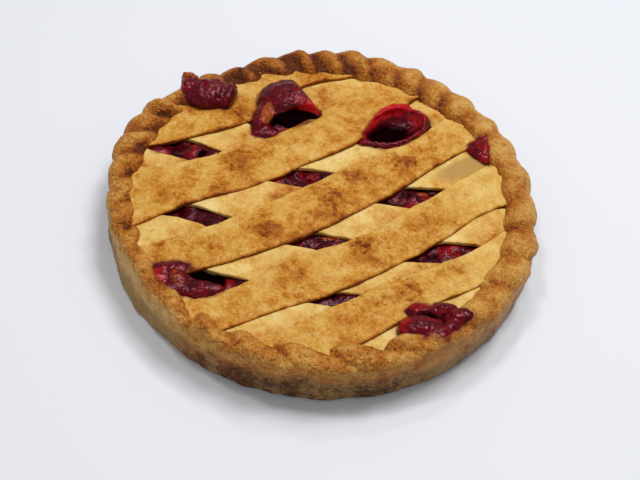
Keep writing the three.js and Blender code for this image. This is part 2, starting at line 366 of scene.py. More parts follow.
class Recipe:
    """Builds the nodes of one material."""

    # Turns the mottling off the axes, so that it never lines up with a piece.
    TILT = (0.6, 0.4, 0.3)

    def __init__(self, name: str) -> None:
        """Start an empty material."""
        self.material = bpy.data.materials.new(name)
        self.material.use_nodes = True
        self.tree = self.material.node_tree
        self.tree.nodes.clear()
        self.own = self.node("ShaderNodeTexCoord", {}, {}).outputs["Object"]
        self.place = self.mapped(rotation=self.TILT)

    def node(
        self, kind: str, settings: Mapping[str, object], inputs: Mapping[object, object]
    ) -> bpy.types.Node:
        """Add one node.

        Args:
            kind: The node's type.
            settings: Its settings, set first. "stops" gives a ramp's places and colours.
            inputs: Values, sockets or Value objects for its input sockets.

        Returns:
            The node.
        """
        node = self.tree.nodes.new(kind)
        for name, value in settings.items():
            if name == "stops":
                self._set_stops(node.color_ramp, value)
            else:
                setattr(node, name, value)
        self.feed(node, inputs)
        return node

    def feed(self, node: bpy.types.Node, inputs: Mapping[object, object]) -> None:
        """Set or link a node's input sockets."""
        for name, value in inputs.items():
            source = value.socket if isinstance(value, Value) else value
            if isinstance(source, bpy.types.NodeSocket):
                self.tree.links.new(source, node.inputs[name])
            else:
                node.inputs[name].default_value = source

    @staticmethod
    def _set_stops(ramp: bpy.types.ColorRamp, stops: Sequence[tuple[float, Colour]]) -> None:
        """Give a ramp its places and colours."""
        while len(ramp.elements) < len(stops):
            ramp.elements.new(1.0)
        for element, (place, colour) in zip(ramp.elements, stops):
            element.position = place
            element.color = (*colour, 1.0)

    def mark(self, name: str) -> Value:
        """The number that a piece's vertices hold under a name."""
        node = self.node("ShaderNodeAttribute", {"attribute_name": name}, {})
        return Value(self, node.outputs["Fac"])

    def mapped(
        self, rotation: Sequence[float] = (0.0, 0.0, 0.0), scale: Sequence[float] = (1.0, 1.0, 1.0)
    ) -> bpy.types.NodeSocket:
        """The piece's own coordinates, turned and stretched."""
        inputs = {"Vector": self.own, "Rotation": tuple(rotation), "Scale": tuple(scale)}
        return self.node("ShaderNodeMapping", {}, inputs).outputs[0]

    def noise(
        self, size: float, detail: float = 2.0, place: bpy.types.NodeSocket | None = None
    ) -> Value:
        """Mottling of a given size in millimetres, from about 0 to 1."""
        node = self.node(
            "ShaderNodeTexNoise",
            {},
            {"Vector": place or self.place, "Scale": 1.0 / (size * MM), "Detail": detail},
        )
        return Value(self, node.outputs["Fac"])

    def ramp(self, value: Value, stops: Sequence[tuple[float, Colour]]) -> bpy.types.NodeSocket:
        """A colour read from a ramp."""
        return self.node("ShaderNodeValToRGB", {"stops": stops}, {"Fac": value}).outputs[0]

    def mix(self, share: Value, first: object, second: object) -> bpy.types.NodeSocket:
        """A mix of two colours, each a socket or a plain colour."""
        node = self.node("ShaderNodeMix", {"data_type": "RGBA"}, {"Factor": share})
        for index, colour in ((6, first), (7, second)):
            plain = isinstance(colour, tuple)
            self.feed(node, {index: (*colour, 1.0) if plain else colour})
        return node.outputs[2]

    def bump(self, height: Value, distance: float) -> bpy.types.NodeSocket:
        """Fine relief, from a height between 0 and 1 and its full depth in millimetres."""
        inputs = {"Height": height, "Distance": distance * MM}
        return self.node("ShaderNodeBump", {}, inputs).outputs[0]

    def shader(self, inputs: Mapping[str, object]) -> bpy.types.NodeSocket:
        """A Principled shader with the inputs given."""
        return self.node("ShaderNodeBsdfPrincipled", {}, inputs).outputs[0]

    def finish(self, surface: bpy.types.NodeSocket) -> bpy.types.Material:
        """Put a shader on the surface and return the material."""
        self.node("ShaderNodeOutputMaterial", {}, {"Surface": surface})
        return self.material


def srgb(red: float, green: float, blue: float) -> Colour:
    """A colour given as it looks on a screen, from 0 to 255, as light."""
    parts = [part / 255.0 for part in (red, green, blue)]
    return tuple(
        part / 12.92 if part <= 0.04045 else ((part + 0.055) / 1.055) ** 2.4 for part in parts
    )


def faded(colour: Colour, share: float) -> Colour:
    """A colour mixed with its own grey."""
    grey = 0.3 * colour[0] + 0.59 * colour[1] + 0.11 * colour[2]
    return tuple(blend(part, grey, share) for part in colour)


# ---------------------------------------------------------------- finishes


@dataclass(frozen=True)
class PastryFinish:
    """Baked shortcrust.

    "bake" marks how brown it is, and in creases, on cut sides and on the crust's wall also painted
    shade; "crisp" where it is rough and freckled, "dull" where it has no glaze, on the crust's wall
    with painted shade, and "stain" where juice has soaked in.
    """

    name: str
    broad: float = 0.50
    mottle: float = 0.34
    grain: float = 0.44
    speckle: float = 0.10
    freckles: float = 0.15
    # How strongly pale specks on crisp flakes show; they are painted highlights.
    flake_highlights: float = 0.12
    roughness: float = 0.50
    relief: float = 1.0
    shine: float = 0.24
    darkest: Colour = srgb(112, 46, 2)
    fade: float = 0.0
    # Pale flecks, partly pale tone and partly painted highlights of the glaze: their share and
    # colour.
    fleck_and_highlight_share: float = 0.3
    fleck_and_highlight: Colour = srgb(216, 168, 106)
    gloss: Colour = (1.0, 0.78, 0.55)
    stops: tuple[tuple[float, Colour], ...] = (
        (0.00, srgb(222, 193, 124)),
        (0.20, srgb(213, 178, 92)),
        (0.38, srgb(203, 157, 72)),
        (0.55, srgb(191, 134, 44)),
        (0.70, srgb(172, 104, 18)),
        (0.85, srgb(144, 73, 6)),
    )
    # Bare colours. The crust's wall takes these dark defaults: bare tone and painted shade
    # together.
    dull_light: Colour = srgb(150, 115, 66)
    dull_dark: Colour = srgb(70, 37, 13)
    stain_colour: Colour = srgb(92, 22, 18)

    # Sizes of the mottling in millimetres, and how far the wall's streaks are drawn out upwards.
    BROAD = 7.0
    STREAK = 6.0
    PATCH = 2.9
    FRECKLE = 2.6
    FLECK = 1.6
    FINE = 1.5
    FLAKE = 1.1
    SPECK = 0.8
    DRAWN_OUT = (1.0, 1.0, 0.25)

    def material(self) -> bpy.types.Material:
        """Build the material."""
        recipe = Recipe(self.name)
        broad = recipe.noise(self.BROAD, 3.0)
        patch = recipe.noise(self.PATCH, 2.0)
        fine = recipe.noise(self.FINE, 3.0)
        speck = recipe.noise(self.SPECK, 2.0)
        crisp = recipe.mark("crisp")
        freckle = recipe.noise(self.FRECKLE, 1.0).span(0.50, 0.70)
        bake = recipe.mark("bake") + (broad - 0.5) * self.broad + (patch - 0.5) * self.mottle
        bake = bake + (fine - 0.5) * self.grain - (speck.span(0.50, 0.72) - 0.3) * self.speckle
        bake = bake + (freckle - 0.25) * crisp * self.freckles
        # Pale flecks (tone and painted glaze highlights), then pale specks on crisp flakes (painted
        # highlights).
        colour = recipe.mix(self._flecks_and_highlights(recipe, bake), recipe.ramp(bake, self._shades()), self.fleck_and_highlight)
        flake_highlight = recipe.noise(self.FLAKE, 3.0).span(0.57, 0.68) * crisp * self.flake_highlights
        flake_highlight = flake_highlight * (1.0 - bake.span(0.60, 0.85) * 0.75)
        colour = recipe.mix(flake_highlight, colour, self.fleck_and_highlight)
        colour = recipe.mix(recipe.mark("dull"), colour, self._unglazed(recipe, patch, fine))
        colour = recipe.mix(recipe.mark("stain"), colour, self.stain_colour)
        height = patch * 0.35 + fine * 0.5 + speck * 0.25 + freckle * crisp * 0.4
        return recipe.finish(
            recipe.shader(
                {
                    "Base Color": colour,
                    "Roughness": self.roughness + (patch - 0.5) * 0.4,
                    "Normal": recipe.bump(height, self.relief),
                    "Specular IOR Level": self.shine,
                    "Specular Tint": (*self.gloss, 1.0),
                }
            )
        )

    def _shades(self) -> list[tuple[float, Colour]]:
        """The ramp from raw to darkest, the paler end a little greyed."""
        shades = (*self.stops, (1.0, self.darkest))
        return [(place, faded(colour, self.fade * (1.0 - place))) for place, colour in shades]

    def _flecks_and_highlights(self, recipe: Recipe, bake: Value) -> Value:
        """Pale flecks, part tone, part painted glaze highlights; they go where the pastry browns.
        """
        fleck = recipe.noise(self.FLECK, 4.0).span(0.50, 0.66)
        return fleck * self.fleck_and_highlight_share * (1.0 - bake.span(0.42, 0.70))

    def _unglazed(self, recipe: Recipe, patch: Value, fine: Value) -> bpy.types.NodeSocket:
        """The colour of bare pastry, in streaks; dark enough on the crust's wall to paint its
        shade.
        """
        streak = recipe.noise(self.STREAK, 3.0, recipe.mapped(scale=self.DRAWN_OUT))
        tan = streak + (patch - 0.5) * 0.5 + (fine - 0.5) * 0.9 + (recipe.mark("bake") - 0.8) * 1.4
        return recipe.mix(tan.span(0.25, 0.80), self.dull_light, self.dull_dark)


@dataclass(frozen=True)
class FruitFinish:
    """Cooked cherry or its set juice.

    "flesh" marks pale flesh; "bright" a lighter red, with random tone and painted light glowing
    through thin skin and on lit lips; and "deep" painted shade in hollows, clefts and low places.
    """

    name: str
    skin: Colour = srgb(98, 3, 15)
    dark_skin: Colour = srgb(58, 2, 10)
    # Lighter red, for painted light through thin skin and on lit lips.
    bright: Colour = srgb(174, 14, 19)
    flesh: Colour = srgb(138, 62, 15)
    # Near black, for painted shade in hollows and clefts.
    deep: Colour = srgb(14, 1, 3)
    gloss: Colour = (1.0, 0.46, 0.54)
    roughness: float = 0.10
    relief: float = 0.7
    shine: float = 0.3
    glow: float = 0.1
    glow_depth: float = 1.5
    glow_spread: Colour = (1.0, 0.12, 0.08)
    deep_roughness: float = 0.6

    # Sizes of the skin's mottling in millimetres.
    BROAD = 3.6
    FINE = 1.2
    SPECK = 0.6

    def material(self) -> bpy.types.Material:
        """Build the material."""
        recipe = Recipe(self.name)
        broad = recipe.noise(self.BROAD, 2.0)
        fine = recipe.noise(self.FINE, 2.0)
        speck = recipe.noise(self.SPECK, 1.0)
        skin = recipe.mix((broad + (fine - 0.5) * 0.5).span(0.30, 0.68), self.dark_skin, self.skin)
        bright = recipe.mark("bright") + (broad - 0.5) * 0.8
        skin = recipe.mix(bright.span(0.15, 0.95), skin, self.bright)
        flesh = recipe.mark("flesh") + (fine - 0.5) * 1.2
        skin = recipe.mix(flesh.span(0.3, 0.8), skin, self.flesh)
        wet = recipe.shader(
            {
                "Base Color": skin,
                "Roughness": self.roughness + (fine - 0.5) * 0.1,
                "Normal": recipe.bump(broad * 0.6 + fine * 0.35 + speck * 0.05, self.relief),
                "Subsurface Weight": self.glow,
                "Subsurface Radius": self.glow_spread,
                "Subsurface Scale": self.glow_depth * MM,
                "Specular IOR Level": self.shine,
                "Specular Tint": (*self.gloss, 1.0),
            }
        )
        # A matte near black, mixed in by "deep", paints the shade in hollows, clefts and low
        # places.
        dark = recipe.shader(
            {
                "Base Color": (*self.deep, 1.0),
                "Roughness": self.deep_roughness,
                "Specular IOR Level": 0.0,
            }
        )
        depth = recipe.mark("deep").span(0.1, 0.8)
        mixed = recipe.node("ShaderNodeMixShader", {}, {0: depth, 1: wet, 2: dark})
        return recipe.finish(mixed.outputs[0])


@dataclass(frozen=True)
class FloorFinish:
    """A plain pale floor."""

    name: str = "pale_floor"
    colour: Colour = srgb(216, 218, 224)
    roughness: float = 0.6

    def material(self) -> bpy.types.Material:
        """Build the material."""
        recipe = Recipe(self.name)
        look = {"Base Color": (*self.colour, 1.0), "Roughness": self.roughness}
        return recipe.finish(recipe.shader(look))


# ---------------------------------------------------------------- lattice plan


@dataclass(frozen=True)
class StripPlan:
    """One strip's two hand-cut edges, as offsets from the pie's middle at even steps along it."""

    node: str
    far: tuple[float, ...]
    near: tuple[float, ...]

    # The step from one offset to the next, in millimetres.
    STATION_STEP = 30.0

    @classmethod
    def _edge(cls, offsets: Sequence[float], along: Points) -> Points:
        """Read the smooth curve through a list of offsets."""
        values = np.array(offsets)
        last = len(values) - 1
        station = along / cls.STATION_STEP + last / 2
        start = np.clip(np.floor(station), 0, last - 1).astype(int)
        around = (values[np.clip(start + step, 0, last)] for step in (-1, 0, 1, 2))
        before, first, second, after = around
        share = np.clip(station - start, 0.0, 1.0)
        bend = 2 * before - 5 * first + 4 * second - after
        twist = 3 * first - before - 3 * second + after
        return 0.5 * (2 * first + share * (second - before + share * (bend + share * twist)))

    def near_edge(self, along: Points) -> Points:
        """The offset of the nearer edge."""
        return self._edge(self.near, along)

    def far_edge(self, along: Points) -> Points:
        """The offset of the farther edge."""
        return self._edge(self.far, along)


@dataclass(frozen=True)
class LayerPlan:
    """A layer of strips that lie the same way."""

    azimuth: float
    strips: tuple[StripPlan, ...]

    # The widest opening that counts between two strips, and how far under a strip it still does.
    WIDEST_GAP = 12.0
    OVERLAP = 1.5

    def to_pie(self, along: Points, across: Points) -> tuple[Points, Points]:
        """Turn distances along and across the strips into x and y."""
        turn = math.radians(self.azimuth)
        x = along * math.cos(turn) - across * math.sin(turn)
        y = along * math.sin(turn) + across * math.cos(turn)
        return x, y

    def from_pie(self, x: Points, y: Points) -> tuple[Points, Points]:
        """Turn x and y into distances along and across the strips."""
        turn = math.radians(self.azimuth)
        return x * math.cos(turn) + y * math.sin(turn), y * math.cos(turn) - x * math.sin(turn)

    def inside(self, x: Points, y: Points) -> Points:
        """How far inside the nearest strip each point lies; less than 0 is between strips."""
        along, across = self.from_pie(x, y)
        depths = [
            np.minimum(across - strip.near_edge(along), strip.far_edge(along) - across)
            for strip in self.strips
        ]
        return np.max(depths, axis=0)

    def between(self, x: Points, y: Points) -> Points:
        """How far each point lies from the strip behind it, 0, to the strip in front of it, 1."""
        along, across = self.from_pie(x, y)
        behind = np.full_like(across, self.WIDEST_GAP)
        ahead = np.full_like(across, self.WIDEST_GAP)
        for strip in self.strips:
            to_near = strip.near_edge(along) - across
            to_far = across - strip.far_edge(along)
            behind = np.where(to_near > -self.OVERLAP, np.clip(to_near, 0.0, behind), behind)
            ahead = np.where(to_far > -self.OVERLAP, np.clip(to_far, 0.0, ahead), ahead)
        return behind / (behind + ahead + 0.01)


UPPER = LayerPlan(
    38.0,
    (
        StripPlan("upper_strip_1", (84,) * 7, (66, 65, 58, 55, 64, 57, 50)),
        StripPlan(
            "upper_strip_2",
            (54, 51, 43.5, 41.5, 44, 50.5, 50.5),
            (23, 22.5, 16.5, 16, 16.5, 25, 30),
        ),
        StripPlan(
            "upper_strip_3",
            (12, 7, 4.5, 5, 5.5, 6.5, 12),
            (-10, -16, -20.5, -21, -19, -14.5, -12),
        ),
        StripPlan(
            "upper_strip_4",
            (-25, -28.5, -28.5, -33.5, -30.5, -27.5, -25),
            (-45, -47.5, -53, -54.5, -53, -50, -56),
        ),
        StripPlan(
            "upper_strip_5",
            (-60, -58, -58.5, -60.5, -64, -62.5, -60),
            (-80, -80, -80, -79.5, -81.5, -79.5, -80),
        ),
    ),
)
LOWER = LayerPlan(
    -7.0,
    (
        StripPlan("lower_strip_1", (88,) * 7, (66, 70.5, 62, 47, 59, 50, 50)),
        StripPlan(
            "lower_strip_2",
            (35, 36, 30, 36, 36, 47, 44),
            (20, 13, 8, 10.5, 10.5, 15, 13),
        ),
        StripPlan(
            "lower_strip_3",
            (4, 1, -3, -2, -3.5, 3, 11.5),
            (-27, -24.5, -29, -27, -27, -17, -14),
        ),
        StripPlan(
            "lower_strip_4",
            (-40, -34, -39.5, -37.5, -36.5, -30, -24),
            (-60, -57, -60, -59, -55.5, -53.5, -50),
        ),
        StripPlan("lower_strip_5", (-66, -71, -70, -66.5, -64, -56.5, -52), (-96,) * 7),
    ),
)


@dataclass(frozen=True)
class Heights:
    """The levels of the pie's top."""

    upper_top: float = 24.0
    lower_top: float = 21.4
    thickness: float = 2.2
    crown_height: float = 2.2
    crown_radius: float = 85.0
    sag: float = 0.7
    swell: float = 1.5
    far_fall: float = 0.9
    filling_top: float = 20.3

    def crown(self, x: Points, y: Points) -> Points:
        """How much higher the top is towards the middle."""
        return self.crown_height * (1.0 - np.minimum(1.0, (x * x + y * y) / self.crown_radius**2))

    def upper(self, x: Points, y: Points) -> Points:
        """The top of the upper strips, which dip between the lower ones."""
        cover = smoothstep(LOWER.inside(x, y), -7.0, 1.0)
        return self.upper_top + self.crown(x, y) - self.sag * (1.0 - cover)

    def lower(self, x: Points, y: Points) -> Points:
        """The top of the lower strips, which swell between the upper ones."""
        cover = smoothstep(UPPER.inside(x, y), -1.0, 2.5)
        return self.lower_top + self.crown(x, y) + self.swell * (1.0 - cover)


HEIGHTS = Heights()

# Browned patches of the upper strips: x, y, radius and strength; a strength below 0 is paler.
BROWN_PATCHES: Rows = (
    (-41, 8, 9, 0.22), (-46, -3, 5, 0.16), (-28, 20, 7, 0.14), (-45, 46, 9, 0.20),
    (40, 18, 8, 0.28), (31, 19, 7, 0.24), (53, 34, 9, 0.20), (13, 7, 8, 0.20), (3, -6, 8, 0.26),
    (25, -34, 11, 0.26), (8, -14, 10, 0.24), (50, -18, 6, 0.22), (38, -54, 9, 0.18),
    (29, -67, 9, 0.22), (62, -41, 6, 0.18), (-22, -34, 8, 0.24), (-28, -25, 7, 0.18),
    (-42, -43, 8, 0.20), (-5, -60, 9, 0.20), (-65, -33, 7, 0.12), (-60, -5, 6, 0.16),
    (-5, -22, 10, 0.16), (-36, 15, 8, 0.26), (-5, 68, 8, 0.36), (-68, -41, 8, 0.28),
    (18, -36, 8, 0.34), (-44, 42, 6, 0.22), (-67, 29, 8, -0.16), (-14, -20, 8, -0.20),
    (56, 54, 9, -0.24), (34, 33, 5, -0.12), (78, 15, 10, -0.18), (72, -34, 10, -0.18),
    (28, -54, 6, -0.12),
)

# Browned patches of the lower strips: x, y, radius and strength.
PALE_PATCHES: Rows = (
    (-5, 68, 9, 0.40), (-38, -4, 9, 0.12), (79, -13, 9, 0.14), (-17, -6, 8, 0.32),
    (-13, 18, 6, 0.14), (7, -58, 7, 0.42), (-31, -45, 6, 0.14),
)

# Blisters of the upper strips: x, y, radius and height.
BLISTERS: Rows = (
    (-41.4, 11.5, 7.0, 0.8), (40.5, -56.0, 6.0, 0.9), (60.7, -38.4, 4.5, 0.6),
    (61.3, 40.7, 4.5, 0.6), (18.5, -29.8, 6.0, 0.7), (-21.7, -29.5, 6.0, 0.7),
    (-63.0, -17.3, 5.0, 0.5), (22.4, 54.1, 5.0, 0.5), (13.0, 8.0, 6.0, 0.7),
    (-62.0, 2.0, 5.0, 0.5), (38.0, 22.0, 5.0, 0.6), (-2.0, -62.0, 5.0, 0.5),
)

# A crack across the first upper strip, as a line through three points, and its width.
SEAM = ((-49.2, 47.3), (-45.0, 42.1), (-39.2, 34.0))
SEAM_WIDTH = 0.6


def seam_depth(flat: Points) -> Points:
    """How deep in the crack each point lies, from 0 to 1."""
    depth = np.zeros(len(flat))
    for (x, y), (next_x, next_y) in zip(SEAM, SEAM[1:]):
        step = np.array([next_x - x, next_y - y])
        gap = flat[:, :2] - np.array([x, y])
        share = np.clip(gap @ step / (step @ step), 0.0, 1.0)
        distance = np.linalg.norm(gap - share[:, None] * step, axis=1)
        depth = np.maximum(depth, np.exp(-((distance / SEAM_WIDTH) ** 2)))
    return depth


# ---------------------------------------------------------------- fruit


@dataclass(frozen=True)
class Ball:
    """A stretched ball.

    It holds the middle, the half sizes and the turns about the vertical and its own length.
    """

    middle: tuple[float, float, float]
    half: tuple[float, float, float]
    turn: float = 0.0
    roll: float = 0.0

    SEGMENTS = 40
    RINGS = 26

    def add(self) -> bpy.types.Object:
        """Add the ball as a primitive."""
        deselect_all()
        bpy.ops.mesh.primitive_uv_sphere_add(
            segments=self.SEGMENTS,
            ring_count=self.RINGS,
            radius=MM,
            location=Vector(self.middle) * MM,
            rotation=(math.radians(self.roll), 0.0, math.radians(self.turn)),
        )
        piece = bpy.context.object
        piece.scale = self.half
        settle(piece)
        return piece

    def reach(self, points: Points) -> Points:
        """How far out each point lies: 0 in the middle, 1 on the ball's surface."""
        turn = math.radians(self.turn)
        roll = math.radians(self.roll)
        gap = points - np.array(self.middle)
        along = gap[:, 0] * math.cos(turn) + gap[:, 1] * math.sin(turn)
        across = gap[:, 1] * math.cos(turn) - gap[:, 0] * math.sin(turn)
        side = across * math.cos(roll) + gap[:, 2] * math.sin(roll)
        up = gap[:, 2] * math.cos(roll) - across * math.sin(roll)
        return np.linalg.norm(np.column_stack([along, side, up]) / self.half, axis=1)


@dataclass(frozen=True)
class Spot:
    """A patch of fruit with another colour: flesh, painted light ("bright") or painted shade
    ("deep").

    It holds the mark that it raises, where, how strongly and how softly.
    """

    mark: str
    ball: Ball
    strength: float = 1.0
    soft: float = 0.3

    RAGGED = 0.12

    def share(self, points: Points, ragged: Points) -> Points:
        """How strongly the patch colours each point, its edge made ragged by a noise."""
        reach = self.ball.reach(points) * (1.0 + self.RAGGED * ragged)
        return self.strength * falling(reach, 1.0 - self.soft, 1.0 + self.soft)


@dataclass(frozen=True)
class Cut:
    """A flat cut: a point on it and the direction that falls away."""

    point: tuple[float, float, float]
    away: tuple[float, float, float]


@dataclass
class Cherry:
    """A large piece of cooked cherry: stretched balls grown together, and hollowed where split."""

    node: str
    balls: tuple[Ball, ...]
    scoops: tuple[Ball, ...] = ()
    cuts: tuple[Cut, ...] = ()
    spots: tuple[Spot, ...] = ()
    bright: float = 0.25
    wrinkle: float = 0.5
    parts_strips: bool = False
    seed: int = 1

    VOXEL = 0.6
    SWELLINGS = Grain(0.5, 5.0)
    FOLDS = Grain(0.5, 2.6, 30.0)
    PORES = Grain(0.25, 1.3)
    FOLD_LEVEL = 0.2
    SMOOTHER_INSIDE = 0.35
    MARKS = ("bright", "flesh", "deep")

    def build(self) -> bpy.types.Object:
        """Grow the fruit together, hollow it and wrinkle its skin.

        Returns:
            The piece.
        """
        piece = self._grown()
        for cut in self.cuts:
            self._trim(piece, cut)
            self._melt(piece)
        for scoop in self.scoops:
            self._hollow(piece, scoop)
        self._melt(piece)
        modify(piece, "SMOOTH", factor=0.5, iterations=3)
        self._wrinkle(piece)
        return piece

    def _grown(self) -> bpy.types.Object:
        """The balls, joined and melted into one skin."""
        parts = [ball.add() for ball in self.balls]
        deselect_all()
        for part in parts:
            part.select_set(True)
        bpy.context.view_layer.objects.active = parts[0]
        if len(parts) > 1:
            bpy.ops.object.join()
        piece = named(f"{self.node}_fruit")
        self._melt(piece)
        return piece

    def _melt(self, piece: bpy.types.Object) -> None:
        """Make one even skin of what the piece holds."""
        modify(piece, "REMESH", mode="VOXEL", voxel_size=self.VOXEL * MM)

    @staticmethod
    def _trim(piece: bpy.types.Object, cut: Cut) -> None:
        """Cut one side flat."""
        with editing(piece):
            bpy.ops.mesh.bisect(
                plane_co=Vector(cut.point) * MM, plane_no=cut.away, use_fill=True, clear_outer=True
            )

    @staticmethod
    def _hollow(piece: bpy.types.Object, scoop: Ball) -> None:
        """Cut one hollow."""
        cutter = scoop.add()
        modify(piece, "BOOLEAN", operation="DIFFERENCE", object=cutter, solver="EXACT")
        bpy.data.objects.remove(cutter)

    def _wrinkle(self, piece: bpy.types.Object) -> None:
        """Wrinkle the skin, leave the hollows smoother, and mark the colours."""
        noise = Noise(self.seed)
        points = read_points(piece)
        outward = np.empty(len(points) * 3)
        piece.data.vertices.foreach_get("normal", outward)
        outward = outward.reshape(-1, 3)
        inside = np.zeros(len(points))
        for scoop in self.scoops:
            inside = np.maximum(inside, falling(scoop.reach(points), 1.03, 1.14))
        folds = noise.of(points, self.SWELLINGS) + np.abs(noise.of(points, self.FOLDS))
        folds = folds - self.FOLD_LEVEL + noise.of(points, self.PORES)
        rise = self.wrinkle * folds * (1.0 - self.SMOOTHER_INSIDE * inside)
        points = points + outward * rise[:, None]
        write_points(piece, points)
        marks = {name: np.zeros(len(points)) for name in self.MARKS}
        marks["bright"] = self.bright * (0.7 + noise.of(points, Grain(0.8, 4.0)))
        for spot in self.spots:
            marks[spot.mark] = marks[spot.mark] + spot.share(points, noise.at(points, 3.0))
        write_marks(piece, marks)

    def nearness(self, points: Points) -> Points:
        """How near points lie to the fruit: 1 in it, 0 a millimetre off."""
        return falling(self._gap(points), -0.3, 1.2)

    def hollowed(self, points: Points) -> Points:
        """How far points lie in the fruit's hollows: 1 in one, 0 outside."""
        if not self.scoops:
            return np.zeros(len(points))
        reach = np.min([scoop.reach(points) for scoop in self.scoops], axis=0)
        return falling(reach, 0.95, 1.15) * falling(self._gap(points), -0.6, 0.2)

    def _gap(self, points: Points) -> Points:
        """About how many millimetres off the fruit each point lies; less than 0 is inside."""
        gap = np.min([(ball.reach(points) - 1.0) * min(ball.half) for ball in self.balls], axis=0)
        for cut in self.cuts:
            away = np.array(cut.away) / np.linalg.norm(cut.away)
            gap = np.maximum(gap, (points - np.array(cut.point)) @ away)
        return gap
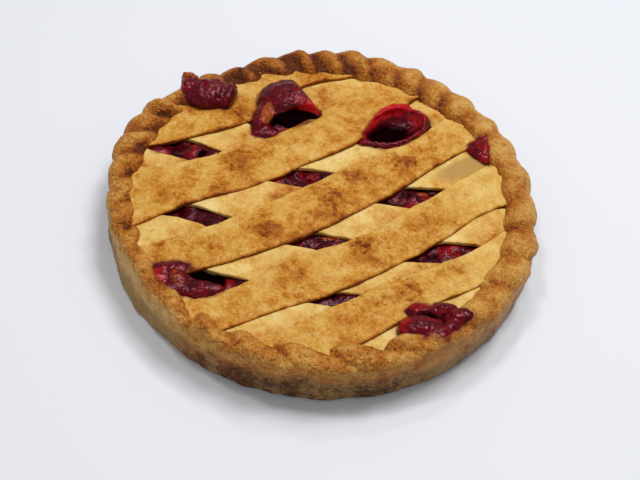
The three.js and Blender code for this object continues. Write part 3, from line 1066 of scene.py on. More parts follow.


# "deep" spots paint the shade in hollows and clefts; "bright" spots paint light through thin skin
# and on lit lips.
CHERRIES: tuple[Cherry, ...] = (
    Cherry(
        "cherry_rim_left",
        balls=(
            Ball((-62.0, 53.0, 26.0), (12.5, 9.0, 7.0), 12),
            Ball((-51.6, 53.0, 26.6), (3.2, 8.6, 5.2), -10),
            Ball((-71.5, 55.0, 27.0), (4.6, 6.5, 5.2), 10),
            Ball((-71.5, 59.5, 28.0), (5.6, 4.2, 3.6), 135),
            Ball((-74.6, 61.4, 29.6), (2.2, 1.8, 1.6), 125),
            Ball((-60.5, 49.5, 24.5), (10.5, 5.0, 4.6), 3),
        ),
        spots=(
            Spot("flesh", Ball((-73.0, 61.8, 31.0), (5.5, 3.0, 3.0), -20), 1.0, 0.5),
            Spot("bright", Ball((-74.5, 57.0, 28.0), (4.5, 6.5, 5.0), 10), 0.5, 0.5),
        ),
        wrinkle=1.5,
        bright=0.05,
        seed=3,
    ),
    Cherry(
        "cherry_back",
        balls=(
            Ball((-20.8, 54.3, 23.0), (17.2, 15.5, 11.2), -12),
            Ball((-33.0, 42.0, 22.5), (5.8, 12.0, 7.2), -8),
            Ball((-30.5, 32.4, 22.8), (8.0, 4.5, 3.8), 8),
        ),
        cuts=(Cut((-13.4, 58.0, 28.0), (0.69, 0.49, 0.53)),),
        scoops=(Ball((-16.0, 39.6, 29.0), (13.0, 6.6, 5.6), 27, 35),),
        spots=(
            Spot("flesh", Ball((-31.0, 42.0, 28.5), (3.0, 7.0, 4.0), -6), 0.9, 0.2),
            Spot("bright", Ball((-14.5, 49.5, 29.0), (10.0, 4.0, 3.6), -18), 0.9, 0.5),
            Spot("deep", Ball((-19.0, 41.0, 25.0), (11.0, 6.2, 6.0), 20), 1.0, 0.25),
            Spot("deep", Ball((-11.0, 46.0, 24.0), (6.0, 5.0, 3.0), 31), 1.0, 0.25),
            Spot("deep", Ball((-19.0, 35.5, 21.5), (9.5, 4.0, 3.4), 12), 0.9, 0.3),
        ),
        wrinkle=0.8,
        bright=0.12,
        seed=4,
    ),
    Cherry(
        "cherry_open",
        balls=(
            Ball((31.5, 43.5, 21.0), (21.5, 13.0, 7.2), 30),
            Ball((20.5, 45.0, 24.0), (9.5, 4.5, 4.8), 62),
            Ball((30.5, 55.0, 24.0), (10.5, 4.8, 5.2), 33),
            Ball((41.5, 54.0, 23.5), (8.0, 4.5, 4.6), -28),
            Ball((18.0, 33.5, 22.6), (7.0, 3.4, 3.4), 48),
        ),
        cuts=(
            Cut((44.6, 59.3, 25.0), (0.49, 0.55, 0.68)),
            Cut((44.6, 42.1, 25.0), (0.69, -0.53, -0.49)),
            Cut((18.0, 43.6, 25.0), (-0.85, 0.38, 0.37)),
            Cut((20.3, 29.8, 25.0), (-0.12, -0.69, -0.72)),
        ),
        scoops=(Ball((30.8, 44.0, 28.5), (17.5, 9.8, 8.2), 31),),
        spots=(
            Spot("bright", Ball((27.0, 55.0, 28.5), (15.5, 5.8, 4.2), 36), 0.95, 0.5),
            Spot("bright", Ball((44.0, 53.0, 26.0), (8.0, 5.0, 4.0), -30), 0.3, 0.5),
            Spot("bright", Ball((20.0, 44.0, 26.0), (8.0, 3.8, 3.4), 60), 0.7, 0.5),
            Spot("deep", Ball((27.0, 40.5, 20.0), (15.0, 9.5, 5.4), 31), 0.95, 0.6),
        ),
        wrinkle=1.2,
        bright=0.25,
        parts_strips=True,
        seed=5,
    ),
    Cherry(
        "cherry_right",
        balls=(
            Ball((75.5, 36.5, 22.0), (8.5, 10.5, 6.0), 20),
            Ball((77.5, 42.5, 24.2), (3.5, 5.0, 4.0), 12),
        ),
        cuts=(
            Cut((70.4, 41.7, 25.0), (-0.66, 0.58, 0.48)),
            Cut((77.6, 38.1, 25.0), (0.96, 0.06, 0.28)),
            Cut((70.9, 29.6, 25.0), (-0.44, -0.58, -0.69)),
        ),
        bright=0.4,
        wrinkle=1.0,
        seed=6,
    ),
    Cherry(
        "cherry_left",
        balls=(
            Ball((-61.5, 16.5, 19.4), (8.0, 6.4, 5.0), 8),
            Ball((-71.5, 14.5, 18.8), (6.5, 4.2, 4.6), 10),
            Ball((-80.0, 14.5, 20.5), (6.0, 3.8, 3.2), 15),
        ),
        spots=(
            Spot("deep", Ball((-57.5, 13.5, 23.0), (3.6, 3.6, 3.0)), 0.8),
            Spot("deep", Ball((-71.0, 14.0, 22.0), (3.6, 3.6, 3.0)), 0.6),
        ),
        bright=0.25,
        wrinkle=0.4,
        seed=7,
    ),
    Cherry(
        "cherry_middle",
        balls=(Ball((45.0, 4.2, 18.8), (6.2, 2.6, 4.0), 14),),
        spots=(Spot("flesh", Ball((45.0, 4.2, 22.0), (7.0, 2.4, 3.0), 14), 0.6),),
        wrinkle=0.25,
        seed=8,
    ),
    Cherry(
        "cherry_front_left",
        balls=(
            Ball((-50.0, -58.0, 18.5), (16.0, 6.5, 5.5), -8),
            Ball((-46.5, -64.6, 21.4), (10.5, 5.6, 4.6), 8),
            Ball((-55.5, -65.5, 21.4), (5.5, 4.6, 4.2)),
            Ball((-66.0, -61.0, 21.4), (6.0, 5.6, 4.2)),
            Ball((-60.0, -66.8, 21.5), (4.6, 4.6, 4.2)),
            Ball((-57.5, -60.5, 22.2), (4.4, 6.6, 3.8), 35),
            Ball((-60.0, -55.0, 23.2), (9.5, 3.6, 2.6), 5),
        ),
        scoops=(Ball((-44.5, -57.4, 24.5), (10.5, 4.2, 5.8), -12),),
        spots=(
            Spot("flesh", Ball((-57.5, -61.5, 25.5), (3.0, 6.0, 4.0), 35), 0.5, 0.5),
            Spot("bright", Ball((-66.0, -62.0, 25.0), (6.0, 5.0, 4.0)), 0.45, 0.5),
            Spot("deep", Ball((-60.0, -69.0, 22.0), (4.0, 3.4, 3.4)), 0.5, 0.4),
            Spot("deep", Ball((-45.0, -57.5, 20.0), (11.0, 4.6, 5.5), -12), 1.0, 0.2),
        ),
        bright=0.12,
        wrinkle=0.7,
        seed=9,
    ),
    Cherry(
        "cherry_front_right_1",
        balls=(
            Ball((46.5, -74.5, 23.0), (9.8, 7.0, 6.4), 4),
            Ball((46.5, -65.0, 22.8), (7.4, 4.6, 5.0), 10),
            Ball((56.5, -63.0, 22.6), (6.5, 4.4, 4.8)),
            Ball((52.0, -71.0, 21.5), (6.0, 6.0, 5.0)),
        ),
        spots=(
            Spot("deep", Ball((49.0, -68.4, 25.0), (7.5, 2.2, 3.4), 8), 0.75, 0.5),
            Spot("bright", Ball((44.0, -64.5, 27.0), (6.0, 3.0, 2.6), 10), 0.3, 0.5),
            Spot("bright", Ball((40.0, -74.5, 25.0), (4.0, 4.5, 4.0)), 0.4, 0.5),
        ),
        bright=0.25,
        wrinkle=1.0,
        seed=10,
    ),
    Cherry(
        "cherry_front_right_2",
        balls=(
            Ball((62.8, -66.8, 23.6), (7.8, 5.0, 5.2), 12),
            Ball((53.0, -77.6, 24.6), (7.6, 5.4, 4.8), 18),
            Ball((59.5, -72.5, 23.4), (5.5, 4.5, 4.8), 35),
        ),
        spots=(Spot("bright", Ball((57.0, -80.0, 27.0), (6.0, 3.0, 3.0), 20), 0.3, 0.5),),
        bright=0.25,
        wrinkle=1.0,
        seed=12,
    ),
)


# How far pastry and jelly sink away in a hollow, in millimetres.
DENT_DEPTH = 6.0
STAIN_SEED = 71


def juice_stain(points: Points) -> Points:
    """How strongly juice has stained the pastry at each point."""
    near = np.max([cherry.nearness(points) for cherry in CHERRIES], axis=0)
    return np.clip(near * (0.7 + Noise(STAIN_SEED).of(points, Grain(0.5, 2.0))), 0.0, 1.0)


def dented(points: Points, through: bool) -> Points:
    """How far pastry or jelly sinks away in the hollow fruit.

    Args:
        points: Places on the pastry or the jelly.
        through: Whether only fruit counts that parts the golden strips.

    Returns:
        Shares of the dent's depth, from 0 to 1.
    """
    fruit = [cherry for cherry in CHERRIES if cherry.parts_strips or not through]
    return np.max([cherry.hollowed(points) for cherry in fruit], axis=0)


# ---------------------------------------------------------------- rim plan


@dataclass(frozen=True)
class RimStation:
    """The rim at one azimuth.

    It holds the outer and the inner radius, the crest's height, the angle under the rim where the
    wall starts, how deep the crimps are on the outside, on top and on the inside, how many crimps
    they slant across, how brown the rim is, how dark its creases are as browning and painted shade,
    how rough it is and how sharp its creases are.
    """

    azimuth: float
    outer: float
    inner: float
    crest: float
    foot: float
    outside: float
    top: float
    inside: float
    slant: float
    bake: float
    crease: float
    rough: float
    sharp: float


RIM: tuple[RimStation, ...] = (
    RimStation(0, 99.2, 84.0, 28.0, -30, 2.8, 1.8, 1.0, 0.45, 0.53, 0.24, 1.2, 0.5),
    RimStation(30, 98.9, 83.0, 28.4, -30, 2.0, 1.5, 0.8, 0.45, 0.51, 0.20, 1.2, 0.3),
    RimStation(60, 99.2, 79.5, 28.8, -30, 1.8, 1.6, 0.8, 0.55, 0.56, 0.24, 1.2, 0.3),
    RimStation(85, 99.2, 80.0, 29.4, -30, 2.0, 2.2, 1.0, 0.85, 0.64, 0.32, 1.1, 0.4),
    RimStation(105, 97.2, 79.5, 28.2, -30, 2.2, 2.4, 1.0, 1.05, 0.76, 0.46, 1.0, 0.4),
    RimStation(125, 93.8, 79.0, 27.0, -30, 2.2, 2.6, 1.0, 1.15, 0.78, 0.46, 1.1, 0.4),
    RimStation(145, 96.0, 81.5, 27.8, -28, 2.6, 3.0, 0.9, 1.10, 0.64, 0.40, 1.3, 0.5),
    RimStation(156, 99.6, 84.0, 28.8, -26, 2.4, 3.0, 0.8, 1.08, 0.61, 0.36, 1.4, 0.6),
    RimStation(170, 101.2, 85.0, 28.6, -25, 2.4, 2.8, 0.7, 1.05, 0.65, 0.34, 1.5, 0.6),
    RimStation(190, 98.6, 87.0, 27.6, -20, 1.6, 2.2, 0.7, 0.80, 0.65, 0.30, 1.8, 0.6),
    RimStation(215, 96.8, 88.0, 26.4, -12, 0.8, 1.4, 1.6, 0.50, 0.62, 0.22, 2.2, 0.6),
    RimStation(240, 98.6, 90.0, 26.0, -8, 0.6, 1.2, 3.0, 0.50, 0.62, 0.22, 2.4, 0.7),
    RimStation(265, 100.1, 89.5, 26.4, -8, 0.8, 1.8, 5.5, 0.70, 0.62, 0.24, 2.2, 0.9),
    RimStation(290, 100.0, 90.0, 26.8, -8, 1.0, 2.2, 6.5, 0.85, 0.61, 0.24, 1.9, 1.0),
    RimStation(312, 100.2, 90.0, 27.2, -12, 1.4, 2.4, 5.0, 0.80, 0.59, 0.22, 1.5, 0.9),
    RimStation(328, 100.6, 85.0, 27.6, -16, 2.2, 2.2, 1.4, 0.70, 0.57, 0.24, 1.4, 0.8),
    RimStation(343, 101.2, 85.5, 27.8, -20, 2.8, 2.2, 1.4, 0.60, 0.55, 0.24, 1.3, 0.7),
)
# Where each crimp of the rim stands out most on its outer side.
CRIMPS: tuple[float, ...] = (
    13.5, 25.9, 35.7, 46.9, 56.7, 66.5, 76.7, 86.1, 96.5, 105.5, 117.3, 127.4, 138.0, 149.3,
    156.6, 164.3, 173.6, 182.5, 192.0, 201.3, 209.0, 221.0, 234.0, 247.0, 260.0, 274.0, 289.0,
    306.0, 324.0, 338.0, 347.2, 359.5,
)

# Where thumbs pressed the rim: azimuth, distance from the axis, width and depth.
THUMB_MARKS: Rows = (
    (12, 84.1, 3.0, 1.0), (39, 88.0, 2.5, 0.8), (49, 84.5, 3.5, 1.2), (59, 81.9, 3.0, 1.2),
    (63, 87.6, 2.5, 0.8), (74, 86.0, 3.0, 1.4), (83, 84.0, 3.0, 1.5), (94, 84.5, 3.0, 1.2),
    (96, 87.5, 3.5, 1.6), (104, 86.0, 4.0, 2.2), (116, 86.4, 4.5, 2.4), (127, 84.5, 5.0, 2.6),
    (149, 88.0, 3.5, 2.2), (157, 90.0, 3.5, 2.2), (160, 84.9, 3.5, 2.0), (173, 91.5, 3.0, 1.6),
    (182, 89.0, 3.5, 1.8), (197, 90.0, 3.5, 1.8), (204, 91.0, 3.0, 1.4), (240, 96.0, 4.0, 1.0),
    (255, 91.8, 3.0, 1.2), (288, 96.0, 3.0, 1.4), (300, 94.0, 3.0, 1.2), (322, 98.0, 3.0, 1.2),
    (338, 92.0, 3.0, 1.6), (351, 92.0, 3.0, 1.6),
)


def rim_value(azimuth: Points, name: str) -> Points:
    """Read one of the rim's values round the pie."""
    return round_curve(azimuth, [(station.azimuth, getattr(station, name)) for station in RIM])


def rim_middle(azimuth: Points) -> Points:
    """The radius of the middle of the rim."""
    return (rim_value(azimuth, "outer") + rim_value(azimuth, "inner")) / 2


# ---------------------------------------------------------------- strips


@dataclass(frozen=True)
class StripStyle:
    """What the strips of one layer share.

    It holds their plan, their top's height at x and y, their material slot, how brown and how
    blistered they are, the first strip's seed, how far the far edge drops and how much browner
    the cut sides are, toasted and with painted shade.
    """

    layer: LayerPlan
    top_at: Callable[[Points, Points], Points]
    slot: Slot
    bake: float
    blister: float
    seed: int
    far_fall: float = 0.0
    side_bake_and_shade: float = 0.25


@dataclass
class PastryStrip:
    """One strip of the lattice, a thin slab whose sides follow its two cut edges."""

    plan: StripPlan
    style: StripStyle
    seed: int
    reach: float = 92.0
    length_cuts: int = 230
    width_cuts: int = 34
    rounding: float = 0.55
    rim_climb: float = 0.5

    SLAB_WIDTH = 20.0
    END_WIDTH = 1.0
    # How far from the middle a strip's ends are looked for, and in what steps.
    SPAN = 98.0
    SPAN_STEP = 0.1
    # Bumps of the cut edges, the waves and the blisters of the surface, and its browning.
    RAGGED = Grain(0.35, 7.0)
    WAVES = (Grain(0.60, 13.0), Grain(0.25, 5.5))
    BUBBLES = Grain(1.1, 3.4, 40.0)
    BUBBLE_LEVEL = 0.275
    PIMPLES = Grain(0.10, 1.6)
    SHADES = (Grain(0.10, 15.0, 90.0), Grain(0.05, 7.5, 107.3), Grain(0.08, 4.5, 60.0))
    # The bare place, along and across the upper layer, and its half sizes.
    BARE_PLACE = (67.0, -22.0)
    BARE_SIZE = (17.0, 6.0)

    def build(self) -> bpy.types.Object:
        """Roll the strip out, cut it, lay it and bake it.

        Returns:
            The piece.
        """
        piece = self._slab()
        self._lay(piece)
        return piece

    def _slab(self) -> bpy.types.Object:
        """A flat slab, 2 reaches long, with rounded edges."""
        deselect_all()
        bpy.ops.mesh.primitive_grid_add(
            x_subdivisions=self.length_cuts, y_subdivisions=self.width_cuts, size=1.0
        )
        piece = named(f"{self.plan.node}_pastry")
        piece.scale = (2.0 * self.reach * MM, self.SLAB_WIDTH * MM, 1.0)
        settle(piece)
        with editing(piece):
            bpy.ops.mesh.extrude_region_move(
                TRANSFORM_OT_translate={"value": (0.0, 0.0, -HEIGHTS.thickness * MM)}
            )
            bpy.ops.mesh.select_all(action="SELECT")
            bpy.ops.mesh.normals_make_consistent(inside=False)
        modify(
            piece,
            "BEVEL",
            width=self.rounding * MM,
            segments=3,
            limit_method="ANGLE",
            angle_limit=math.radians(60.0),
        )
        return piece

    def _lay(self, piece: bpy.types.Object) -> None:
        """Bend the slab to its plan, raise its blisters and mark its browning."""
        noise = Noise(self.seed)
        slab = read_points(piece)
        first, last = self._ends()
        along = blend(first, last, slab[:, 0] / (2.0 * self.reach) + 0.5)
        ragged = noise.of(np.column_stack([along, 0 * along, 0 * along]), self.RAGGED)
        low, high = self._edges(along)
        across = blend(low + ragged, high - ragged, slab[:, 1] / self.SLAB_WIDTH + 0.5)
        x, y = self.style.layer.to_pie(along, across)
        flat = np.column_stack([x, y, np.zeros_like(x)])
        relief = self._relief(flat, noise)
        upper_share = smoothstep(slab[:, 2], -0.9 * HEIGHTS.thickness, -0.2)
        fall = self.style.far_fall * smoothstep(slab[:, 1], 4.0, 10.0) ** 2
        to_rim = np.hypot(x, y) - rim_value(azimuth_of(x, y), "inner")
        climb = self.rim_climb * smoothstep(to_rim, -5.0, 3.0)
        z = self.style.top_at(x, y) + slab[:, 2] + relief * upper_share - fall + climb
        z = z - DENT_DEPTH * dented(np.column_stack([x, y, z]), self.style.slot is Slot.GOLDEN)
        write_points(piece, np.column_stack([x, y, z]))
        marks = self._browning(flat, noise, relief, slab)
        marks["dull"] = self._unglazed(flat)
        marks["stain"] = juice_stain(np.column_stack([x, y, z]))
        write_marks(piece, marks)

    def _edges(self, along: Points) -> tuple[Points, Points]:
        """The offsets of both edges, kept under the rim."""
        low = np.maximum(self.plan.near_edge(along), -self._rim_offset(along, -1.0))
        high = np.minimum(self.plan.far_edge(along), self._rim_offset(along, 1.0))
        return low, high

    def _rim_offset(self, along: Points, side: float) -> Points:
        """How far from the strips' middle line the middle of the rim lies, on one side."""
        offset = np.sqrt(np.maximum(self.reach**2 - along * along, 0.01))
        for _ in range(4):
            x, y = self.style.layer.to_pie(along, side * offset)
            reach = rim_middle(azimuth_of(x, y))
            offset = np.sqrt(np.maximum(reach**2 - along * along, 0.01))
        return offset

    def _ends(self) -> tuple[float, float]:
        """Where the strip starts and ends along its length, both under the rim."""
        along = np.arange(-self.SPAN, self.SPAN, self.SPAN_STEP)
        low, high = self._edges(along)
        wide = along[high - low > self.END_WIDTH]
        return float(wide[0]), float(wide[-1])

    def _relief(self, flat: Points, noise: Noise) -> Points:
        """Blisters, dimples and gentle waves of the baked surface."""
        bubbles = np.maximum(noise.of(flat, self.BUBBLES) - self.BUBBLE_LEVEL, 0.0)
        relief = noise.of(flat, *self.WAVES) + self.style.blister * bubbles
        relief = relief + noise.of(flat, self.PIMPLES)
        if self.style.slot is Slot.GOLDEN:
            for x, y, radius, height in BLISTERS:
                relief = relief + height * self._dome(flat, x, y, radius, noise)
            relief = relief - 0.6 * seam_depth(flat)
        return relief

    @staticmethod
    def _dome(flat: Points, x: float, y: float, radius: float, noise: Noise) -> Points:
        """A blister's uneven dome, from 1 in its middle to 0 at its radius."""
        gap = np.hypot(flat[:, 0] - x, flat[:, 1] - y)
        gap = gap * (1.0 + noise.of(flat, Grain(0.35, 4.0, 20.0)))
        return np.maximum(1.0 - (gap / radius) ** 2, 0.0)

    def _browning(
        self, flat: Points, noise: Noise, relief: Points, slab: Points
    ) -> dict[str, Points]:
        """Mark how brown and how crisp each point is; near edges and cut sides get painted shade.

        Args:
            flat: The points, all at height 0.
            noise: The strip's noise.
            relief: How far each point stands out.
            slab: The points' places on the flat slab.

        Returns:
            The marks "bake" and "crisp".
        """
        bake = self.style.bake + noise.of(flat, *self.SHADES) + 0.10 * relief
        crisp = np.full(len(flat), 0.15)
        if self.style.slot is Slot.GOLDEN:
            zone = self._patched(flat, BROWN_PATCHES, noise)
            for x, y, radius, height in BLISTERS:
                dome = self._dome(flat, x, y, radius, noise)
                zone = zone + 0.5 * height * dome * (1.0 - dome)
            bake = bake + 0.60 * zone + 0.3 * seam_depth(flat)
            crisp = crisp + 2.4 * zone
            bake = bake - 0.16 * smoothstep(flat[:, 0] - 0.15 * flat[:, 1], 48.0, 74.0)
            # A dark band along the near edge: a toasted edge and its painted shade.
            bake = bake + 0.20 * smoothstep(-slab[:, 1], 8.7, 9.9)
            far = smoothstep(slab[:, 1], 3.0, 10.0) * (0.8 + noise.of(flat, Grain(0.5, 11.0)))
            bake = bake - 0.14 * far
        else:
            bake = bake + 0.14 * smoothstep(noise.at(flat, 9.0, shift=50.0), -0.2, 0.7)
            bake = bake + 0.26 * (UPPER.between(flat[:, 0], flat[:, 1]) - 0.5)
            bake = bake + 0.05 * smoothstep(flat[:, 0], 15.0, 55.0)
            bake = bake + self._patched(flat, PALE_PATCHES, noise)
        # Cut sides are browner: toasted, and painted with their shade.
        bake = bake + self.style.side_bake_and_shade * falling(slab[:, 2], -1.1, -0.3)
        return {"bake": np.clip(bake, 0.02, 0.98), "crisp": crisp}

    @staticmethod
    def _patched(flat: Points, patches: Rows, noise: Noise) -> Points:
        """How much browner patches make each point."""
        zone = np.zeros(len(flat))
        for x, y, reach, strength in patches:
            gap = np.hypot(flat[:, 0] - x, flat[:, 1] - y)
            gap = gap * (1.0 + noise.of(flat, Grain(0.45, 5.0)))
            zone = zone + strength * np.exp(-((gap / reach) ** 2))
        return zone

    def _unglazed(self, flat: Points) -> Points:
        """Where the pastry is bare: one smooth place of the pale strips, on the right."""
        if self.style.slot is Slot.GOLDEN:
            return np.zeros(len(flat))
        along, across = UPPER.from_pie(flat[:, 0], flat[:, 1])
        gap = (np.column_stack([along, across]) - self.BARE_PLACE) / self.BARE_SIZE
        return falling(np.linalg.norm(gap, axis=1), 0.6, 1.25)


# ---------------------------------------------------------------- crust


@dataclass
class Crust:
    """The pastry case: flat base, wall and a rim that is crimped like a rope."""

    base_radius: float = 98.6
    base_tuck: float = 3.6
    base_lift: float = 1.9
    rope_height: float = 21.6
    rope_drop: float = 5.5
    rope_end: float = 205.0
    fullness: float = 0.85
    cavity_radius: float = 88.0
    base_thickness: float = 4.2
    seed: int = 21

    # Shares of the outline where the underside, the wall, the rope and the inner wall end.
    UNDERSIDE = 0.06
    WALL = 0.28
    ROPE = 0.86
    CAVITY = 0.95
    OUTLINE_POINTS = 122
    SPIN_STEPS = 60
    SPIN_CUTS = 11
    # Azimuths round which the wall is darker at the front, painted shade on the side turned from
    # the key light, and round which its top is paler.
    SHADED_FRONT = (236.0, 262.0, 288.0, 312.0)
    PALER = (185.0, 205.0, 228.0, 248.0)
    # The ring on which the wall's creases are read, and how far its streaks are drawn out upwards.
    WALL_RADIUS = 97.0
    UPRIGHT = (1.0, 1.0, 0.35)
    # Its roughness, creases, shades of browning, ragged upper edge, bands and streaks.
    ROUGHNESS = (Grain(0.30, 9.0), Grain(0.30, 5.0), Grain(0.18, 2.6), Grain(0.07, 1.4))
    CREASES = (Grain(0.30, 7.0), Grain(0.18, 3.2))
    SHADES = (Grain(0.07, 9.0), Grain(0.035, 4.5, 17.3), Grain(0.08, 3.0))
    WALL_EDGE = Grain(3.0, 8.0)
    BANDS = Grain(0.7, 17.0)
    STREAKS = Grain(0.8, 6.5)

    def build(self) -> bpy.types.Object:
        """Spin the outline and crimp it.

        Returns:
            The piece.
        """
        share = np.linspace(0.0, 1.0, self.OUTLINE_POINTS)
        radius, height, _ = self._section(np.zeros(self.OUTLINE_POINTS), share)
        outline = np.column_stack([radius, height])
        piece = turned("crust_pastry", outline, self.SPIN_STEPS, self.SPIN_CUTS)
        self._crimp(piece)
        return piece

    def _section(self, azimuth: Points, share: Points) -> tuple[Points, Points, Points]:
        """The uncrimped case at an azimuth and a share of its outline.

        Args:
            azimuth: Azimuths in degrees.
            share: Shares of the outline, from the middle of the base to that of the floor.

        Returns:
            The radius, the height and the angle round the rope.
        """
        middle = rim_middle(azimuth)
        half = rim_value(azimuth, "outer") - middle
        foot = rim_value(azimuth, "foot")
        crest = rim_value(azimuth, "crest")
        beta = np.radians(blend(foot, self.rope_end, np.clip(self._along(share), 0.0, 1.0)))
        rope_r = middle + half * self._wide(beta)
        above = (beta > 0.0) & (beta <= math.pi)
        rope_z = np.where(above, crest - self.rope_height, self.rope_drop) * np.sin(beta)
        rope_z = self.rope_height + rope_z
        foot_r = middle + half * self._wide(np.radians(foot))
        foot_z = self.rope_height + self.rope_drop * np.sin(np.radians(foot))
        wall = np.clip((share - self.UNDERSIDE) / (self.WALL - self.UNDERSIDE), 0.0, 1.0)
        wall_z = foot_z * wall**1.6
        wall_r = blend(self.base_radius, foot_r, wall) + 0.5 * np.sin(math.pi * wall)
        tuck = np.clip(1.0 - wall_z / self.base_lift, 0.0, 1.0)
        wall_r = wall_r - self.base_tuck * (1.0 - np.sqrt(1.0 - tuck * tuck))
        under = np.clip(share / self.UNDERSIDE, 0.0, 1.0)
        down = np.clip((share - self.ROPE) / (self.CAVITY - self.ROPE), 0.0, 1.0)
        last_r = middle + half * self._wide(np.radians(self.rope_end))
        last_z = self.rope_height + self.rope_drop * math.sin(math.radians(self.rope_end))
        floor = np.clip((share - self.CAVITY) / (1.0 - self.CAVITY), 0.0, 1.0)
        stages = [share <= end for end in (self.UNDERSIDE, self.WALL, self.ROPE, self.CAVITY)]
        floor_r = self.cavity_radius * (1.0 - floor)
        radii = (under * (self.base_radius - self.base_tuck), wall_r, rope_r)
        heights = (0.0 * share, wall_z, rope_z, blend(last_z, self.base_thickness, down))
        radius = np.select(stages, (*radii, blend(last_r, self.cavity_radius, down)), floor_r)
        height = np.select(stages, heights, self.base_thickness)
        return radius, height, beta

    def _along(self, share: Points) -> Points:
        """How far round the rope a share of the outline is, from 0 to 1."""
        return (share - self.WALL) / (self.ROPE - self.WALL)

    def _wide(self, beta: Points) -> Points:
        """The rope's fullness at an angle round it."""
        return np.sign(np.cos(beta)) * np.abs(np.cos(beta)) ** self.fullness

    @staticmethod
    def _phase(azimuth: Points) -> Points:
        """Count the crimps round the pie; a crimp's crest is at a whole number and a half."""
        places = np.array([CRIMPS[-1] - 360.0, *CRIMPS, CRIMPS[0] + 360.0])
        return np.interp(azimuth, places, np.arange(len(places)) - 0.5)

    def _bulge(self, azimuth: Points, along: Points, noise: Noise) -> tuple[Points, Points]:
        """How far each point stands out on its crimp, from 0 in a crease to 1 on a ridge.

        Args:
            azimuth: Azimuths in degrees.
            along: From 0 at the rope's outer foot to 1 at its inner foot.
            noise: The noise that makes the crimps uneven.

        Returns:
            The bulge, and a random number from -1 to 1 for each crimp.
        """
        turn = np.radians(azimuth)
        ring = np.column_stack([np.cos(turn), np.sin(turn), along])
        phase = self._phase(azimuth) + rim_value(azimuth, "slant") * (along - 0.2)
        phase = phase + 0.16 * noise.at(ring, 0.3)
        number = np.floor(phase)
        offset = 2.0 * (phase - number) - 1.0
        offset = offset + 0.22 * (1.0 - offset * offset)
        crisp_edged = (1.0 - np.abs(offset) ** 1.9) ** 0.85
        soft_edged = 0.5 + 0.5 * np.cos(math.pi * offset)
        bulge = blend(soft_edged, crisp_edged, rim_value(azimuth, "sharp"))
        own = noise.table[(number % len(CRIMPS)).astype(int), 7, 3]
        return bulge, own

    def _crimp(self, piece: bpy.types.Object) -> None:
        """Move the spun case's vertices into the crimped shape and mark its browning."""
        noise = Noise(self.seed)
        azimuth = azimuth_of(*read_points(piece).T[:2])
        share = read_mark(piece, "share").astype(float)
        radius, height, beta = self._section(azimuth, share)
        along = np.clip(self._along(share), 0.0, 1.0)
        on_rope = window(share, self.WALL - 0.12, self.WALL + 0.06, self.ROPE, self.ROPE + 0.03)
        bulge, own = self._bulge(azimuth, along, noise)
        level, upright = np.cos(beta), np.sin(beta)
        outside = rim_value(azimuth, "outside") * (bulge - 0.75) * np.maximum(level, 0.0) ** 2
        inside = rim_value(azimuth, "inside") * (bulge - 0.45) * np.maximum(-level, 0.0) ** 2
        top = rim_value(azimuth, "top") * (bulge - 0.65 + 0.3 * own)
        top = top * np.maximum(upright, 0.0) ** 2
        out = on_rope * (outside + inside + top) * (1.0 + 0.2 * own)
        radius = radius + out * level + self._creases(azimuth, share, noise)
        height = height + out * upright - self._thumbed(azimuth, radius) * on_rope
        turn = np.radians(azimuth)
        points = np.column_stack([radius * np.cos(turn), radius * np.sin(turn), height])
        rough = noise.of(points, *self.ROUGHNESS) * rim_value(azimuth, "rough")
        shown = window(share, self.UNDERSIDE, self.UNDERSIDE + 0.06, self.ROPE, self.CAVITY)
        outward = np.column_stack([level * np.cos(turn), level * np.sin(turn), upright])
        points = points + outward * (rough * shown)[:, None]
        points[:, 2] = np.where(share <= self.UNDERSIDE, 0.0, np.maximum(points[:, 2], 0.0))
        write_points(piece, points)
        self._mark(piece, points, azimuth, bulge, along, noise)

    @staticmethod
    def _thumbed(azimuth: Points, radius: Points) -> Points:
        """How deep the rim is pressed in at each point, in millimetres."""
        turn = np.radians(azimuth)
        depth = np.zeros(len(azimuth))
        for place, reach, width, press in THUMB_MARKS:
            x, y = reach * math.cos(math.radians(place)), reach * math.sin(math.radians(place))
            gap = np.hypot(radius * np.cos(turn) - x, radius * np.sin(turn) - y)
            depth = depth + press * np.exp(-((gap / width) ** 2))
        return depth

    def _ring(self, azimuth: Points) -> Points:
        """The place on a level ring round the wall at each azimuth."""
        turn = np.radians(azimuth)
        ring = np.column_stack([np.cos(turn), np.sin(turn), np.zeros_like(turn)])
        return ring * self.WALL_RADIUS

    def _creases(self, azimuth: Points, share: Points, noise: Noise) -> Points:
        """Upright creases of the wall, deepest just under the rim."""
        on_wall = window(share, self.UNDERSIDE, 0.18, self.WALL, self.WALL + 0.05)
        return noise.of(self._ring(azimuth), *self.CREASES) * on_wall

    def _mark(
        self,
        piece: bpy.types.Object,
        points: Points,
        azimuth: Points,
        bulge: Points,
        along: Points,
        noise: Noise,
    ) -> None:
        """Mark how brown, how crisp, how dull and how stained the case is; its wall gets painted
        shade.

        Args:
            piece: The case.
            points: Its vertices, in millimetres.
            azimuth: Their azimuths in degrees.
            bulge: How far each stands out on its crimp.
            along: From 0 at the rope's outer foot to 1 at its inner foot.
            noise: The case's noise.
        """
        # Where the wall is painted darker as shade, on the front turned from the key light.
        front = window(azimuth, *self.SHADED_FRONT)
        ragged_height = points[:, 2] + noise.of(points, self.WALL_EDGE) - 3.0 * front
        wall = falling(ragged_height, 9.0, 17.0)
        streak = noise.of(self._ring(azimuth), self.BANDS)
        streak = smoothstep(streak + noise.of(points * self.UPRIGHT, self.STREAKS), -0.1, 0.7)
        bake = self._rim_browning_and_shade(points, azimuth, bulge, along) + noise.of(points, *self.SHADES)
        # The wall is darker than the rim, most at the front: bare tone and painted shade together.
        bake = bake + wall * (0.10 + 0.20 * streak + 0.12 * front)
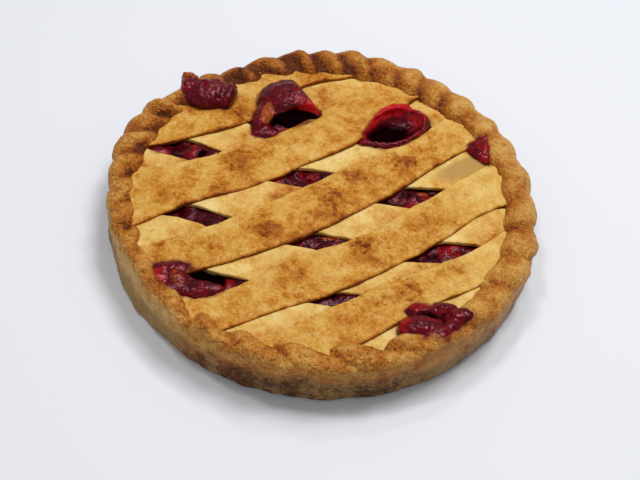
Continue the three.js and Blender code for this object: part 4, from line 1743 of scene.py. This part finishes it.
        # Darker towards the floor.
        bake = bake + 0.12 * falling(points[:, 2], 0.5, 3.5)
        marks = {
            "bake": np.clip(bake, 0.02, 0.99),
            "crisp": 0.25 * rim_value(azimuth, "rough") * (1.0 - 0.5 * wall),
            "dull": wall * (0.95 - 0.5 * streak),
            "stain": juice_stain(points) * smoothstep(points[:, 2], 20.0, 22.0),
        }
        write_marks(piece, marks)

    def _rim_browning_and_shade(
        self, points: Points, azimuth: Points, bulge: Points, along: Points
    ) -> Points:
        """How brown the rim is: darker in its creases, where it is pressed and on its inside, as
        browning and painted shade together, and a little paler on its back ridges as a painted
        highlight.

        Args:
            points: The vertices, in millimetres.
            azimuth: Their azimuths in degrees.
            bulge: How far each stands out on its crimp.
            along: From 0 at the rope's outer foot to 1 at its inner foot.

        Returns:
            The browning with its painted shade and highlight, about 0 to 1.
        """
        # Creases, pressed places and the inside darken: browning and painted shade together.
        crease = (1.0 - bulge) ** 1.3 * smoothstep(along, 0.25, 0.6)
        bake = rim_value(azimuth, "bake") + rim_value(azimuth, "crease") * crease
        pressed = self._thumbed(azimuth, np.hypot(points[:, 0], points[:, 1]))
        bake = bake + 0.18 * rim_value(azimuth, "crease") * pressed
        inner = smoothstep(along, 0.50, 0.75) * smoothstep(points[:, 1], -40.0, 20.0)
        # Ridges towards the back lighten a little: a painted highlight.
        ridge = bulge * smoothstep(along, 0.1, 0.3) * smoothstep(points[:, 1], -60.0, 0.0)
        paler = window(azimuth, *self.PALER)
        foot = falling(along, 0.02, 0.25)
        return bake + 0.12 * inner - 0.03 * ridge - 0.24 * paler * foot


# ---------------------------------------------------------------- filling


@dataclass
class Filling:
    """The set cherry filling, which shows between the strips."""

    radius: float = 87.0
    bottom: float = 4.5
    shoulder: float = 15.4
    top_radius: float = 83.7
    back_offset: float = 4.5
    swell: float = 1.8
    seed: int = 33

    TOP_POINTS = 93
    SPIN_STEPS = 52
    SPIN_CUTS = 9
    LUMPS = Grain(2.2, 8.0)
    PULP = (Grain(0.8, 4.0), Grain(0.25, 1.8))
    LUMP_LEVEL = 1.8

    def build(self) -> bpy.types.Object:
        """Spin a crowned disc and raise its fruit and jelly.

        Returns:
            The piece.
        """
        bottom = [[0.0, self.bottom], [self.radius, self.bottom], [self.radius, self.shoulder]]
        reach = np.linspace(self.top_radius, 0.0, self.TOP_POINTS)
        top = np.column_stack([reach, np.full_like(reach, HEIGHTS.filling_top)])
        outline = np.vstack([bottom, top])
        piece = turned("cherry_filling_jelly", outline, self.SPIN_STEPS, self.SPIN_CUTS)
        self._pour(piece)
        return piece

    def _pour(self, piece: bpy.types.Object) -> None:
        """Give the top its crown, lumps of fruit and wet relief."""
        noise = Noise(self.seed)
        points = read_points(piece)
        top = smoothstep(points[:, 2], self.shoulder + 1.0, HEIGHTS.filling_top)
        shifted = smoothstep(points[:, 2], self.shoulder, HEIGHTS.filling_top)
        points[:, 1] -= self.back_offset * shifted
        flat = points * np.array([1.0, 1.0, 0.0])
        lumps = np.abs(noise.of(flat, self.LUMPS)) + noise.of(flat, *self.PULP)
        x, y = points[:, 0], points[:, 1]
        between = smoothstep(-np.maximum(UPPER.inside(x, y), LOWER.inside(x, y)), -3.0, 0.5)
        lumps = lumps * (0.4 + 0.6 * between)
        rise = HEIGHTS.crown(x, y) + lumps - self.LUMP_LEVEL + self.swell * between
        points[:, 2] += top * rise
        points[:, 2] -= DENT_DEPTH * top * dented(points, False)
        write_points(piece, points)
        bright = 0.25 + noise.of(flat, Grain(0.8, 6.0, 30.0))
        marks = {
            "bright": 0.6 * np.clip(bright, 0.0, 1.0),
            "flesh": 0.7 * smoothstep(noise.at(flat, 5.0, shift=70.0), 0.62, 0.85),
            # Painted shade in the low places between lumps.
            "deep": 0.7 * smoothstep(-lumps, -0.2, 0.6),
        }
        write_marks(piece, marks)


# ---------------------------------------------------------------- studio


@dataclass(frozen=True)
class Lamp:
    """A square soft lamp: its name, its place and width in millimetres, and its power in watts."""

    name: str
    place: tuple[float, float, float]
    width: float
    power: float

    def hang(self) -> None:
        """Hang the lamp so that it faces the pie."""
        light = bpy.data.lights.new(self.name, "AREA")
        light.size = self.width * MM
        light.energy = self.power
        lamp = bpy.data.objects.new(self.name, light)
        lamp.location = Vector(self.place) * MM
        lamp.rotation_euler = (-lamp.location).to_track_quat("-Z", "Y").to_euler()
        bpy.context.scene.collection.objects.link(lamp)


@dataclass
class Studio:
    """Floor, soft light and camera."""

    floor_size: float = 4.0
    world_strength: float = 0.375
    lamps: tuple[Lamp, ...] = (
        Lamp("key_light", (300.0, 260.0, 1000.0), 360.0, 6.7),
        Lamp("fill_light", (-400.0, -750.0, 600.0), 800.0, 1.0),
        Lamp("left_light", (-270.0, 120.0, 950.0), 130.0, 2.0),
        Lamp("glint_light", (60.0, 450.0, 800.0), 70.0, 0.8),
    )
    lens: float = 56.25
    camera_place: tuple[float, float, float] = (0.85, -318.15, 361.41)
    camera_right: tuple[float, float, float] = (0.99443, 0.08031, 0.06825)
    camera_up: tuple[float, float, float] = (-0.10540, 0.75775, 0.64398)

    def build(self) -> None:
        """Set up the floor, the light and the camera."""
        self._floor()
        self._world()
        for lamp in self.lamps:
            lamp.hang()
        self._camera()

    def _floor(self) -> None:
        """A plain pale floor."""
        deselect_all()
        bpy.ops.mesh.primitive_plane_add(size=self.floor_size)
        floor = named("studio_floor")
        floor.data.materials.append(FloorFinish().material())

    def _world(self) -> None:
        """Even pale light from all round."""
        world = bpy.data.worlds.new("studio_world")
        world.use_nodes = True
        back = world.node_tree.nodes["Background"]
        back.inputs["Color"].default_value = (1.0, 1.0, 1.0, 1.0)
        back.inputs["Strength"].default_value = self.world_strength
        bpy.context.scene.world = world

    def _camera(self) -> None:
        """The camera, looking down on the pie."""
        data = bpy.data.cameras.new("studio_camera")
        data.lens = self.lens
        data.sensor_width = 36.0
        data.clip_start = 0.01
        camera = bpy.data.objects.new("studio_camera", data)
        right = Vector(self.camera_right).normalized()
        up = Vector(self.camera_up).normalized()
        axes = Matrix((right, up, right.cross(up))).transposed()
        camera.matrix_world = Matrix.Translation(Vector(self.camera_place) * MM) @ axes.to_4x4()
        bpy.context.scene.collection.objects.link(camera)
        bpy.context.scene.camera = camera


# ---------------------------------------------------------------- the pie


@dataclass
class Pie:
    """The whole pie, piece by piece."""

    crust: Crust = field(default_factory=Crust)
    filling: Filling = field(default_factory=Filling)

    def build(self) -> None:
        """Build every piece and let it stand for its CAD node."""
        crust_finish = PastryFinish(
            "baked_crust",
            broad=0.36,
            mottle=0.20,
            grain=0.40,
            speckle=0.16,
            flake_highlights=0.35,
            roughness=0.44,
            relief=2.2,
            fade=0.16,
            fleck_and_highlight_share=0.45,
            darkest=srgb(80, 28, 2),
        ).material()
        golden_finish = PastryFinish(
            "golden_strip", relief=1.5, fade=0.03, fleck_and_highlight_share=0.58
        ).material()
        pale_finish = PastryFinish(
            "pale_strip",
            broad=0.75,
            mottle=0.45,
            fade=0.08,
            dull_light=srgb(172, 134, 74),
            dull_dark=srgb(152, 113, 58),
        ).material()
        jelly_finish = FruitFinish(
            "cherry_jelly", skin=srgb(72, 5, 14), dark_skin=srgb(34, 2, 8), shine=0.2
        ).material()
        cherry_finish = FruitFinish("cherry_skin").material()
        self._place(self.crust.build(), crust_finish, "crust", Slot.CRUST)
        self._place(self.filling.build(), jelly_finish, "cherry_filling", Slot.JELLY)
        pale = StripStyle(LOWER, HEIGHTS.lower, Slot.PALE, bake=0.26, blister=0.4, seed=40)
        golden = StripStyle(
            UPPER,
            HEIGHTS.upper,
            Slot.GOLDEN,
            bake=0.52,
            blister=1.0,
            seed=60,
            far_fall=HEIGHTS.far_fall,
            side_bake_and_shade=0.42,
        )
        for style, finish in ((pale, pale_finish), (golden, golden_finish)):
            for number, plan in enumerate(style.layer.strips):
                strip = PastryStrip(plan, style, style.seed + number)
                self._place(strip.build(), finish, plan.node, style.slot)
        for cherry in CHERRIES:
            self._place(cherry.build(), cherry_finish, cherry.node, Slot.CHERRY)

    @staticmethod
    def _place(
        piece: bpy.types.Object, finish: bpy.types.Material, node: str, slot: Slot
    ) -> None:
        """Coat a piece, and let it ride on the pie and stand for its CAD node.

        Args:
            piece: The piece.
            finish: Its material.
            node: The CAD node that it replaces.
            slot: The record's material slot; not used.
        """
        coat(piece, finish)
        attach(piece, "root")
        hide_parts(node)
        LOG.info("%s stands for %s with %d faces", piece.name, node, len(piece.data.polygons))


def main() -> None:
    """Build the studio and the pie."""
    logging.basicConfig(level=logging.INFO, format="%(name)s: %(message)s")
    bpy.context.scene.view_settings.view_transform = "Standard"
    Studio().build()
    Pie().build()
    deselect_all()


if __name__ == "__main__":
    main()
